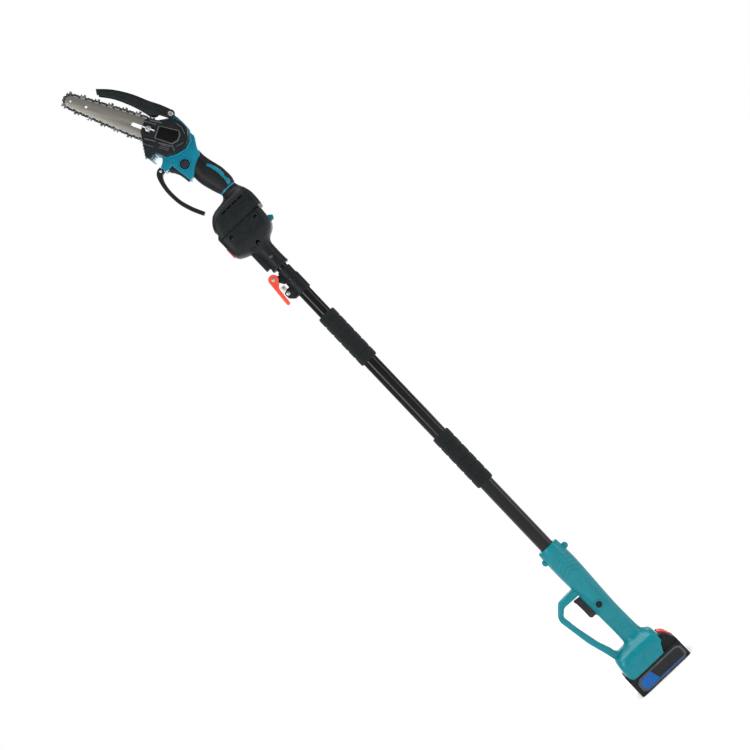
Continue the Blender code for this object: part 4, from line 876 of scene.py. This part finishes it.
STUD = along_bar(STUD_ALONG, 0)
spike_line = [on_saw(-14, 257)]
for k in range(5):
    spike_line += [on_saw(-21 - 3 * k, 257 - 5 * k), on_saw(-25.5 - 3 * k, 253.5 - 5 * k),
                   on_saw(-21.6 - 3 * k, 252.6 - 5 * k)]
spike_line += [on_saw(-30, 228), on_saw(-14, 236)]
housing = slab(saw_outline([
    (57.5, 250, 4), (45, 258, 4), (12, 279, 6), (-8, 268, 6), (-19, 255, 4), (-33.5, 233, 3), (-31, 222, 3),
    (-21, 224, 3), (-18, 230, 2), (-9, 209, 3), (9, 198, 5), (29, 193, 8), (46, 199, 8), (58, 216, 8),
    (58.5, 235, 8)]), -22, 32, 3, 4)
trigger_case = slab(saw_outline([
    (-20, 208), (-27.5, 204, 2), (-27.5, 192.5, 1.5), (-19, 191), (-11, 194.5, 2), (-4.5, 149, 1.5), (6, 151, 2),
    (14, 158, 3), (41, 172, 6), (45, 185, 30), (56.4, 203.5, 8), (55, 222), (-5, 222)]), -16, 16, 4.5, 5)
core_sections = saw_sections([
    (91.3, 18.6, 51, 15.6, 2.4), (92.3, 21, 49, 13.5, 2.6), (110, 15, 52, 15, 2.6), (130, 9.5, 50, 16, 2.6),
    (145, 7.5, 46.5, 16, 2.6), (170, 10, 41, 15, 2.6), (188, 12, 42, 14.2, 2.6)])
saw_casing = fit(housing, "UNION", [
    trigger_case,
    lofted(core_sections, 48, 3),
    lofted(saw_sections([(91.3, 18.1, 51.4, 16, 2.4), (94.1, 17.7, 51.8, 16.4, 2.4)]), 64, 1),
    slab(spike_line, -21.8, -13, 0.4),
    block((PIVOT[0] - 3, -26, PIVOT[1] - 9), (PIVOT[0] + 4, -18, PIVOT[1] + 2)),
    block((GUARD_SCREW[0], -2.4, GUARD_SCREW[1] - 3.5), (GUARD_SCREW[0] + 11, 2.4, GUARD_SCREW[1] + 3.5)),
    *standing(STUD, (-27.7, 8, 7)),
    *standing(PIVOT, (-30.5, 12, 5.5)),
    *standing(GUARD_SCREW, (-2.4, 4.8, 4.2)),
    *standing(BUTTON, (-17.4, 3, 11.4), (14.4, 3, 11.4)),
])
motor_vents = []
for x, low in ((12 + 6 * k, 205 + 1.5 * k) for k in range(6)):
    vent = saw_outline([(x, low, 1), (x + 2.4, low, 1), (x + 2.4, 232, 1), (x, 232, 1)])
    motor_vents.append(slab(vent, 31, 40))
saw_casing = fit(saw_casing, "DIFFERENCE", [
    slab(saw_outline([(54.5, 247, 2), (44, 254, 2), (12, 274.5, 4), (-6, 264, 4), (-16, 253, 2), (-17, 240, 3),
                      (-6, 212, 3), (10, 201, 3), (29, 195.6, 8), (44, 200, 8), (55, 216, 8), (55.8, 235, 8)]),
         -19.6, 29.6),
    slab(saw_outline([(-8, 206), (-8, 193, 1), (-2, 154, 1), (5, 154, 1), (12, 160), (37, 172, 4), (42, 184, 6),
                      (49, 201, 3), (45, 216), (-3, 218)]), -13.6, 13.6),
    lofted(saw_sections([(76, 24, 45.5, 10, 2.6), (92, 24, 46, 10.5, 2.6), (110, 18, 49, 12, 2.6),
                         (130, 12.5, 47, 13, 2.6), (150, 11, 42.5, 13, 2.6), (172, 14, 38, 12, 2.6)]), 48, 2),
    slab(saw_outline([(-26, 192), (-12, 197), (7, 195), (7, 152.5), (-8, 148)]), -6.9, 6.9),
    *standing(SHAFT, (-30, 12, 9.3)),
    *standing(STUD, (-30, 14, 2.8)),
    *standing(BUTTON, (-22, 12, 9.2), (15.4, 6, 9.2)),
    *standing(PIVOT, (-33, 12, 2.1)),
    *standing(GUARD_SCREW, (-10, 20, 1.8)),
    *motor_vents,
])
saw_teal = surface("saw_teal", (0.0, 0.17, 0.25), (0.0, 0.2, 0.292), (0.22, 0.32), [(150, 0.05), (1800, 0.006)],
                   coat=0.1, edge_wear_and_highlight=0.1, gloss=0.3)
halves("saw_casing", saw_casing, saw_teal, "saw", ("saw_shell_left", "saw_shell_right"), edge=0.25)

MOTOR_HALF, TRIGGER_HALF = 32, 16  # half thickness of the two housings on the far side
screws_at = [on_saw(32, 208), on_saw(-12, 222), on_saw(44, 240), on_saw(4, 262), on_saw(38, 181)]
for number, spot in enumerate(screws_at):
    far_y = MOTOR_HALF if number < 4 else TRIGGER_HALF
    cap = cross_screw(spot, -far_y, 3, 1.3, 0.4 + number)
    bmesh.ops.rotate(cap, cent=(spot[0], 0, spot[1]), matrix=Matrix.Rotation(pi, 3, "Z"), verts=cap.verts)
    piece(f"casing_screw_{number + 1}", cap, spring_steel, "saw", edge=0.1)


# ---- Saw lock button and trigger ---------------------------------------------------------------------------
# A dished black button pushes across the casing to free the trigger, a long pull with a hollow face.

button_cap = turned([(0, -19.9), (5.2, -20.1), (6.6, -19.9), (7.5, -19), (7.6, -18), (7.6, -9), (0, -9)], 64,
                    BUTTON, True)
piece("saw_lock_cap", button_cap, trigger_black, "saw_lock", ["saw_lock_button"])
pull = slab(saw_outline([
    (1, 190.5), (-11, 191.5, 2), (-22.5, 188.5, 1.4), (-17, 182, 6), (-12, 172, 20), (-9.8, 160, 20),
    (-9, 151.5, 1), (-5.2, 151.5), (1, 154)], 5), -6.5, 6.5, 1.6, 4)
pull = fit(pull, "DIFFERENCE", [rod((on_saw(-3, 165)[0], 0, on_saw(-3, 165)[1]), "X", 8, 3.4)])
piece("saw_pull", pull, trigger_black, "saw_trigger", ["saw_trigger"], edge=0.2)
spring("saw_pull_coil", "saw_trigger_spring", (on_saw(-2.7, 0)[0], 0, on_saw(0, 165)[1]), "X", 13.5, 2.4, 0.7, 6,
       spring_steel)
dress("saw_switch", case_black, 0.3)


# ---- Grip sleeve and inlay ---------------------------------------------------------------------------------
# The handle wears a moulded black rubber sleeve that climbs higher at the back, with lines drawn round its palm
# panel. A curved teal strip with two small notches is let into each side.

grip_rubber = surface("grip_rubber", (0.0045, 0.005, 0.006), (0.0095, 0.0105, 0.012), (0.42, 0.56),
                      [(1500, 0.05), (5200, 0.02)], edge_wear_and_highlight=0.16, gloss=0.22)
sleeve_sections = saw_sections([
    (94.4, 17.5, 52, 16.5, 2.4), (102, 14.5, 54.3, 17.5, 2.4), (110, 11.6, 55, 18, 2.4), (130, 6, 53.7, 19, 2.4),
    (145, 4, 50, 19, 2.4), (156, 5, 47, 18.4, 2.4), (168, 7, 44.8, 17.6, 2.4), (186, 9, 44.4, 16.6, 2.4)])
sleeve = lofted(sleeve_sections)
panel_lines = [
    [(31.7, 147), (12.5, 134.3), (22.6, 98.7), (23.8, 98.9), (13.9, 133.8), (32.6, 146.2)],
    [(25.5, 141.8), (32.9, 124.6), (34.8, 106.7), (32.5, 94.3), (33.6, 94.2), (36, 106.7), (34, 125), (26.6, 142.2)],
    [(14.2, 155), (10, 145.6), (16.4, 139.8), (17, 140.7), (11.3, 145.9), (15.2, 154.6)],
]
inlay = [(38.3, 150.8), (42.8, 143.6), (46, 135.9), (48, 127), (48.6, 117.4), (46.1, 112.8), (46.9, 107.6),
         (48.7, 103.5), (47.6, 99.2), (45.2, 95.9), (39.7, 95.5), (40.9, 102.5), (41.9, 110), (41.6, 118.5),
         (40.9, 126.6), (39.5, 134), (37.6, 141.4), (34.6, 148.3)]
inlay_bed = [on_saw(*corner) for corner in inlay]
sleeve = fit(sleeve, "DIFFERENCE", [
    lofted(saw_sections([(90, 20.4, 49.5, 14.1, 2.6), (110, 14.6, 52.4, 15.4, 2.6), (130, 9.1, 50.4, 16.4, 2.6),
                         (145, 7.1, 46.9, 16.4, 2.6), (168, 9, 41.8, 15.4, 2.6), (190, 11, 42.2, 14.6, 2.6)]), 48, 2),
    slab(saw_outline([(-30, 149.2), (5.6, 151.1), (13, 158.4, 3), (40.4, 172.4, 5), (44.4, 184), (46, 190), (46, 240),
                      (-30, 240)]), -16.2, 16.2),
    slab(saw_outline([(-30, 148.6), (4.6, 150.4), (12.6, 157.6, 3), (35, 169.4, 5), (43, 182), (44.4, 190), (46, 240),
                      (-30, 240)]), -60, 60),
    skin_tool([[on_saw(*corner) for corner in line] for line in panel_lines], sleeve_sections, 0.5, -2),
    skin_tool([inlay_bed], sleeve_sections, 1.2, -2),
])
piece("grip_sleeve", sleeve, grip_rubber, "saw", ["saw_grip_sleeve"], edge=0.2)
for side, low_y, high_y in (("left", -60, 0), ("right", 0, 60)):
    strip = skin_tool([inlay_bed], sleeve_sections, 1.2, -0.25, low_y, high_y)
    piece(f"grip_inlay_{side}", strip, saw_teal, "saw", edge=0.15)


# ---- Hand guard --------------------------------------------------------------------------------------------
# A springy black nylon bow in front of the fingers, ribbed on its outer face, held at the top by one screw.


def ribbon_sides(run, share=1.0):
    """Both edges of a strip along a run of (x, z, half width), each a list of (x, z)."""
    left, right = [], []
    for i, (x, z, half) in enumerate(run):
        back, front = run[max(0, i - 1)], run[min(len(run) - 1, i + 1)]
        way = Vector((front[0] - back[0], front[1] - back[1])).normalized() * half * share
        left.append((x - way.y, z + way.x))
        right.append((x + way.y, z - way.x))
    return left, right


bow_line = smooth_path([(*on_saw(x, z), half) for x, z, half in (
    (-28.4, 200.7, 6.2), (-34.5, 200.3, 6.2), (-40.2, 195.6, 5.3), (-44.5, 186, 4.2), (-47.3, 173, 3.8),
    (-48.1, 157, 3.8), (-45.9, 134.5, 3.8), (-38.4, 111, 3.8), (-28.2, 89.5, 3.6))])
outer_side, inner_side = ribbon_sides(bow_line)
groove_sides = ribbon_sides(bow_line[10:-3], 0.32)
groove = groove_sides[0] + groove_sides[1][::-1]
bow = slab(outer_side + inner_side[::-1], -6, 6, 1.2, 3)
outermost = [max((outer_side[i], inner_side[i]), key=lambda spot: -spot[0]) for i in range(14, len(bow_line) - 2)]
bow = fit(bow, "DIFFERENCE", [
    slab(groove, -8, -4.9),
    slab(groove, 4.9, 8),
    *(rod((x, -4.4, z), "Y", 8.8, 0.8, 0, 8) for x, z in outermost),
    *standing(GUARD_SCREW, (-2.8, 5.6, 4.7), (-10, 20, 1.8)),
    block((GUARD_SCREW[0], -2.8, GUARD_SCREW[1] - 4), (GUARD_SCREW[0] + 12, 2.8, GUARD_SCREW[1] + 4)),
])
piece("hand_bow", bow, case_black, "saw", ["hand_guard"], edge=0.15)
bow_screw = fit(rod((GUARD_SCREW[0], -6.3, GUARD_SCREW[1]), "Y", 11, 1.5), "UNION",
                [cross_screw(GUARD_SCREW, -6.1, 2.9, 1.9)])
piece("hand_bow_screw", bow_screw, spring_steel, "saw", ["hand_guard_screw"], edge=0.1)


# ---- Motor and drive ---------------------------------------------------------------------------------------
# Hidden in the casing: a small steel-canned motor whose pinion turns the big gear on the sprocket's shaft.

gear_steel = surface("gear_steel", (0.16, 0.16, 0.17), (0.26, 0.26, 0.27), (0.28, 0.42), [(900, 0.02)], metallic=1)
for steel_node in ("motor_can", "motor_rotor", "drive_gear", "drive_shaft", "shaft_bearing", "drive_sprocket"):
    dress(steel_node, gear_steel, 0.15)

thread = [(0, -52), (1.9, -52)]
for k in range(22):
    thread += [(2.5, -51.4 + 0.8 * k), (2.05, -51 + 0.8 * k)]
thread += [(2.5, -33.8), (2.5, -18), (0, -18)]
piece("cover_stud", turned(thread, 24, STUD, True), zinc, "saw", ["bar_stud"])


# ---- Guide bar ---------------------------------------------------------------------------------------------
# A ground steel blade with a groove round its rim for the chain, a slot to slide along the stud, and two holes.

BELLY, NOSE_ALONG, NOSE_R, HUB_R = 18.6, 186, 10.3, 12.2
SHOULDER = 52  # how far along the bar is widest
RIM = 0.4  # how far the chain's seat stands off the steel
SLOT_FROM, SLOT_TO, SLOT_R, HOLE_ALONG = 29, 64, 3.6, 155.6


def half_width(along):
    """Half the width inside the chain, from the sprocket out to the bar's belly and in to its nose."""
    if along < SHOULDER:
        return HUB_R + (BELLY - HUB_R) * sin(pi / 2 * along / SHOULDER)
    share = (along - SHOULDER) / (NOSE_ALONG - SHOULDER)
    return BELLY + (NOSE_R + RIM - BELLY) * (0.72 * share + 0.28 * share * share)


def chain_line(grow, start=None, steps=24):
    """The closed line round the bar at a height over the chain's seat; start leaves the sprocket's end off."""
    first = start or 0
    stations = [first + (NOSE_ALONG - first) * i / steps for i in range(steps)]
    line = [along_bar(s, half_width(s) + grow) for s in stations]
    turn = [radians(87 - 174 * i / 15) for i in range(16)]
    line += [along_bar(NOSE_ALONG + (NOSE_R + RIM + grow) * cos(t), (NOSE_R + RIM + grow) * sin(t)) for t in turn]
    line += [along_bar(s, -half_width(s) - grow) for s in reversed(stations)]
    if start is None:
        turn = [radians(-98 - 164 * i / 11) for i in range(12)]
        line += [along_bar((HUB_R + grow) * cos(t), (HUB_R + grow) * sin(t)) for t in turn]
    return line


bar_steel = surface("bar_steel", (0.235, 0.225, 0.195), (0.3, 0.29, 0.255), (0.34, 0.46),
                    [(900, 0.012), (4000, 0.006)], mottle=(140, 5), metallic=0.85, stretch=(1, 1, 0.05),
                    turn=-BAR_LEAN)
slot = [along_bar(end + SLOT_R * cos(t), SLOT_R * sin(t)) for end, first in ((SLOT_FROM, 90), (SLOT_TO, -90))
        for t in (radians(first + 18 * i) for i in range(11))]
groove = fit(slab(chain_line(6, 12), -30.2, -28.8), "DIFFERENCE", [slab(chain_line(-5, 24), -40, -20)])
bar = fit(slab(chain_line(-RIM, 20), -31, -28, 0.35, 2), "DIFFERENCE", [
    groove,
    slab(slot, -40, -20),
    *standing(along_bar(HOLE_ALONG, 0), (-40, 20, 2.4)),
    *standing(along_bar(NOSE_ALONG, 0), (-40, 20, 1.8)),
])
piece("guide_bar_blade", bar, bar_steel, "saw", ["guide_bar"])


# ---- Saw chain ---------------------------------------------------------------------------------------------
# Drive links run in the bar's groove, riveted between side straps. Every second pair of straps carries a
# chromed cutter, left and right in turn, with its depth gauge ahead of it.

DRIVE_LINKS = 35
SEAT = 2.4  # height of the rivets over the chain's seat
path = [Vector((x, 0, z)) for x, z in chain_line(SEAT, None, 60)]
lengths = [(path[(i + 1) % len(path)] - path[i]).length for i in range(len(path))]
half_pitch = sum(lengths) / (2 * DRIVE_LINKS)


def on_chain(distance):
    """The point of the chain's line that lies a distance from its start."""
    left = distance % sum(lengths)
    for i, length in enumerate(lengths):
        if left <= length:
            return path[i].lerp(path[(i + 1) % len(path)], left / length)
        left -= length
    return path[0]


def gather(works):
    """One bench mesh holding several, which are used up."""
    whole = bmesh.new()
    for work in works:
        carrier = bpy.data.meshes.new("carrier")
        work.to_mesh(carrier)
        work.free()
        whole.from_mesh(carrier)
        bpy.data.meshes.remove(carrier)
    return whole


def link_plate(work, rivet, following, outline, low_y, high_y):
    """Adds a flat link drawn as (along, outward) from one rivet towards the next."""
    along = (following - rivet).normalized()
    outward = Vector((along.z, 0, -along.x))
    near, far = [], []
    for a, h in outline:
        spot = rivet + along * a + outward * h
        near.append(work.verts.new((spot.x, low_y, spot.z)))
        far.append(work.verts.new((spot.x, high_y, spot.z)))
    work.faces.new(near)
    work.faces.new(list(reversed(far)))
    for i in range(len(outline)):
        k = (i + 1) % len(outline)
        work.faces.new((near[k], near[i], far[i], far[k]))


chain_steel = surface("chain_steel", (0.03, 0.032, 0.038), (0.085, 0.09, 0.1), (0.22, 0.4), [(1400, 0.03)],
                      mottle=(420, 3), metallic=0.9, edge_wear_and_highlight=0.5)
cutter_chrome = surface("cutter_chrome", (0.3, 0.31, 0.33), (0.52, 0.53, 0.55), (0.14, 0.26), [(1400, 0.01)],
                        mottle=(420, 3), metallic=1, edge_wear_and_highlight=0.4)
strap = [(-2.3, 0), (-1.7, 1.8), (0, 2.3), (1.7, 2), (3.2, 1.5), (4.7, 2), (6.4, 2.3), (8.1, 1.8), (8.7, 0),
         (8, -1.6), (6.4, -2.1), (0, -2.1), (-1.6, -1.6)]
drive_link = [(-2.2, 0.2), (-1.2, 1.9), (1.4, 1.7), (3.2, 1), (5, 1.7), (7.6, 1.9), (8.6, 0.2), (7.6, -1.9),
              (5.7, -2.4), (4.8, -5.2), (3.3, -6.2), (1.3, -4.4), (0.3, -2.2), (-1.3, -1.9)]
cutter = [(-2.3, 0), (-2.8, 3), (-2, 5), (2.7, 5.6), (2.2, 3.4), (3.2, 2.1), (4.8, 2.2), (5.5, 4.7), (7.3, 4.4),
          (8.2, 2), (8.7, 0), (8, -1.6), (6.4, -2.1), (0, -2.1), (-1.6, -1.6)]
tooth_top = [(-2.4, 4.2), (-2, 5), (2.7, 5.6), (2.6, 4.9)]
straps, drives, cutters = bmesh.new(), bmesh.new(), bmesh.new()
rivets = []
for j in range(2 * DRIVE_LINKS):
    here, ahead = on_chain(j * half_pitch), on_chain((j + 1) * half_pitch)
    rivets.append(rod((here.x, -32.2, here.z), "Y", 5.4, 1.15, 0, 10))
    if j % 2 == 0:
        link_plate(drives, here, ahead, drive_link, -30.1, -28.9)
        continue
    carries = {1: "near", 5: "far"}.get(j % 8, "")
    for flank, low_y, high_y, top in (("near", -31.7, -30.3, (-31.7, -29)), ("far", -28.7, -27.3, (-30, -27.3))):
        if carries == flank:
            link_plate(cutters, here, ahead, cutter, low_y, high_y)
            link_plate(cutters, here, ahead, tooth_top, *top)
        else:
            link_plate(straps, here, ahead, strap, low_y, high_y)
piece("chain_straps", straps, chain_steel, "saw", ["saw_chain"], edge=0.15, edge_segments=1)
piece("chain_drive_links", drives, chain_steel, "saw")
piece("chain_cutters", cutters, cutter_chrome, "saw", edge=0.12, edge_segments=1)
piece("chain_rivets", gather(rivets), cutter_chrome, "saw")


# ---- Sprocket cover ----------------------------------------------------------------------------------------
# A black nylon cover over the sprocket and the bar's root. Ribs follow the bar above and below a framed window,
# which is a recessed glossy black plate, and the wing nut stands on a round pad.

cover = slab(saw_outline([
    (12.7, 282, 4), (-9, 271, 8), (-17, 258, 6), (-34, 231, 3), (-30, 222.5, 3), (-20, 226, 2), (-18.5, 231, 1),
    (-7.6, 208.5, 3), (9, 200, 6), (29, 195, 8), (44, 201.5, 8), (56, 217, 8), (56, 234, 6), (51, 246.5, 4),
    (31, 260.5, 4)]), -44, -22.3, 2.8, 4)
window = [(22.1, 253.5), (41.4, 223.6), (36.6, 217.1), (28.1, 213.2), (17.5, 216), (2.9, 243.2)]


def swollen(corners, by):
    """The same outline with each corner moved out from the middle by about a distance."""
    middle_x = sum(x for x, z in corners) / len(corners)
    middle_z = sum(z for x, z in corners) / len(corners)
    grown = []
    for x, z in corners:
        out = Vector((x - middle_x, z - middle_z))
        out *= (out.length + by) / out.length
        grown.append((middle_x + out.x, middle_z + out.y))
    return grown


ribs = [
    [(7.2, 280.4), (19.4, 259.4), (21.2, 260.4), (9.2, 281.2)],
    [(16.4, 272.8), (28.6, 254.6), (30.4, 255.8), (18.2, 274)],
    [(-13.9, 255.4), (-2.4, 238), (-0.6, 239.2), (-12, 256.6)],
    [(-0.8, 233), (13.8, 210.6), (15.8, 211.4), (1, 234.2)],
    [(13.8, 210.9), (10.2, 203), (12.2, 202.2), (15.8, 210.9)],
    [(47, 235), (49.6, 226), (51.2, 226), (48.6, 235.6)],
    [(49.6, 226.3), (45.4, 212), (46.8, 211.4), (51.2, 226.3)],
]
ribs += [[(x + 3.4 * k, z + 1.4 * k) for x, z in ((-2.6, 227), (6.4, 212), (7.4, 212.6), (-1.6, 227.6))]
         for k in (-0.9, 0, 0.9)]
ribs += [
    [(19, 205.4), (34, 201.4), (34.4, 202.6), (19.6, 206.6)],
    [(-22, 252), (-12, 234.6), (-11, 235.2), (-20.8, 252.6)],
]
opening = saw_outline([(*c, 1) for c in window])
chain_way = [along_bar(a, b) for a, b in ((12, 10), (12, 27), (80, 27), (80, -25.5), (30, -25.5), (30, 10))]
# The ribs and the window's frame are a paler grey than the cover: a painted highlight along them.
frame_rim = fit(slab(saw_outline([(*c, 1) for c in swollen(window, 2.6)]), -45, -43.6, 0.4), "DIFFERENCE",
                [slab(opening, -60, -40)])
rims = [slab([on_saw(*c) for c in rib], -45.1, -43.6, 0.35) for rib in ribs]
piece("cover_ribs", gather([frame_rim, *rims]), grey_frame_and_rib_highlight, "saw", edge=0.1)
cover = fit(cover, "UNION", standing(STUD, (-44.6, 2, 12.4)))
cover = fit(cover, "DIFFERENCE", [
    slab(opening, -60, -42.9),
    slab(saw_outline([(12, 278.5, 3), (-7, 268.5, 6), (-14.5, 256, 4), (-18, 246, 3), (-14, 232, 3), (-5, 211, 3),
                      (10, 203, 5), (29, 198, 8), (42.5, 204, 8), (53, 218, 8), (53, 233, 6), (48.5, 244.5, 3),
                      (29, 258, 4)]), -41.4, -10),
    slab(chain_way, -35, -10),
])
cover = fit(cover, "UNION", standing(STUD, (-43, 11.7, 7)))
cover = fit(cover, "DIFFERENCE", standing(STUD, (-60, 50, 2.8)))
piece("chain_cover", cover, case_black, "saw", ["sprocket_cover"], edge=0.25)
plate_black = surface("plate_black", (0.0025, 0.0025, 0.003), (0.004, 0.004, 0.0045), (0.3, 0.4), [(300, 0.01)],
                      gloss=0.12)
window_plate = slab(saw_outline([(*c, 1) for c in swollen(window, -0.5)]), -43.3, -42.7, 0.2)
piece("cover_plate", window_plate, plate_black, "saw")

hub = turned([(2.8, -44.8), (5.9, -44.8), (6.2, -45.4), (5.6, -46.6), (5, -50.2), (4.2, -50.5), (2.8, -50.5)], 40,
             STUD, True)
wing = rounded([(2.6, -45.6), (6, -46, 3), (10.5, -47.2, 5), (13.2, -49.6, 1.5), (13.4, -53, 1.5), (11.4, -54.4, 1.5),
                (7.4, -52.2, 4), (2.6, -49.6)])
wings = []
for facing in (1, -1):
    ear = slab([(facing * a, y) for a, y in wing], -1.3, 1.3, 0.6)
    direction = Vector((*along_bar(STUD_ALONG + 1, 0), 0)) - Vector((*STUD, 0))
    across = Vector((*along_bar(STUD_ALONG, 1), 0)) - Vector((*STUD, 0))
    turned_to = Matrix(((direction.x, across.x, 0, STUD[0]), (0, 0, 1, 0), (direction.y, across.y, 0, STUD[1]),
                        (0, 0, 0, 1)))
    bmesh.ops.transform(ear, matrix=turned_to, verts=ear.verts)
    wings.append(ear)
piece("cover_wing_nut", fit(hub, "UNION", wings), zinc, "wing_nut", ["wing_nut"], edge=0.15)


# ---- Chain guard -------------------------------------------------------------------------------------------
# A black nylon channel over the back run of the chain. It swings up on one shouldered screw against a spring.

shield = slab(saw_outline([
    (60, 258, 6), *smooth_path([(57, 267), (50, 283), (39.5, 303), (25.5, 333), (6, 362.5), (-15, 384)]),
    *smooth_path([(-21, 374.5), (-3, 350), (13, 315), (22.6, 281)]), (36, 269, 5), (45.5, 252, 5),
    (52, 249.5, 4)], 5), -41, -17, 1.3, 3)
shield = fit(shield, "UNION", [
    turned([(5.6, -40.5), (5.6, -42), (7.4, -42), (7.9, -41.6), (7.9, -40.5)], 48, PIVOT, True),
    slab([on_saw(*spot) for spot in
          smooth_path([(50, 263), (43, 284), (35.5, 299), (21.4, 329), (2, 359.4), (-12.6, 373.4)])
          + smooth_path([(-14.4, 371.6), (0.6, 356.6), (19.6, 327.6), (33.4, 298), (40.6, 283), (47.4, 263)])],
         -41.6, -40, 0.4),
])
shield = fit(shield, "DIFFERENCE", [
    slab(saw_outline([(80, 274.6), (51.2, 274.6), (37, 302), (23.2, 331.8), (4, 360.5), (-18.5, 383), (-60, 383),
                      (-60, 240), (80, 240)]), -38.6, -19.4),
    slab(saw_outline([(80, 274.6), (20, 274.6), (20, 240), (80, 240)]), -38.6, 0),
    *standing(PIVOT, (-50, 20, 2.1)),
])
piece("chain_shield", shield, case_black, "chain_guard", ["chain_guard"], edge=0.2)
shield_screw = turned([(0, -43), (2.2, -43), (2.2, -43.7), (4, -43.7), (4.6, -43.1), (4.6, -41.4), (1.8, -41.4),
                       (1.8, -24), (0, -24)], 48, PIVOT, True)
piece("chain_shield_screw", shield_screw, spring_steel, "saw", ["chain_guard_screw"], edge=0.1)
dress("chain_guard_spring", spring_steel)
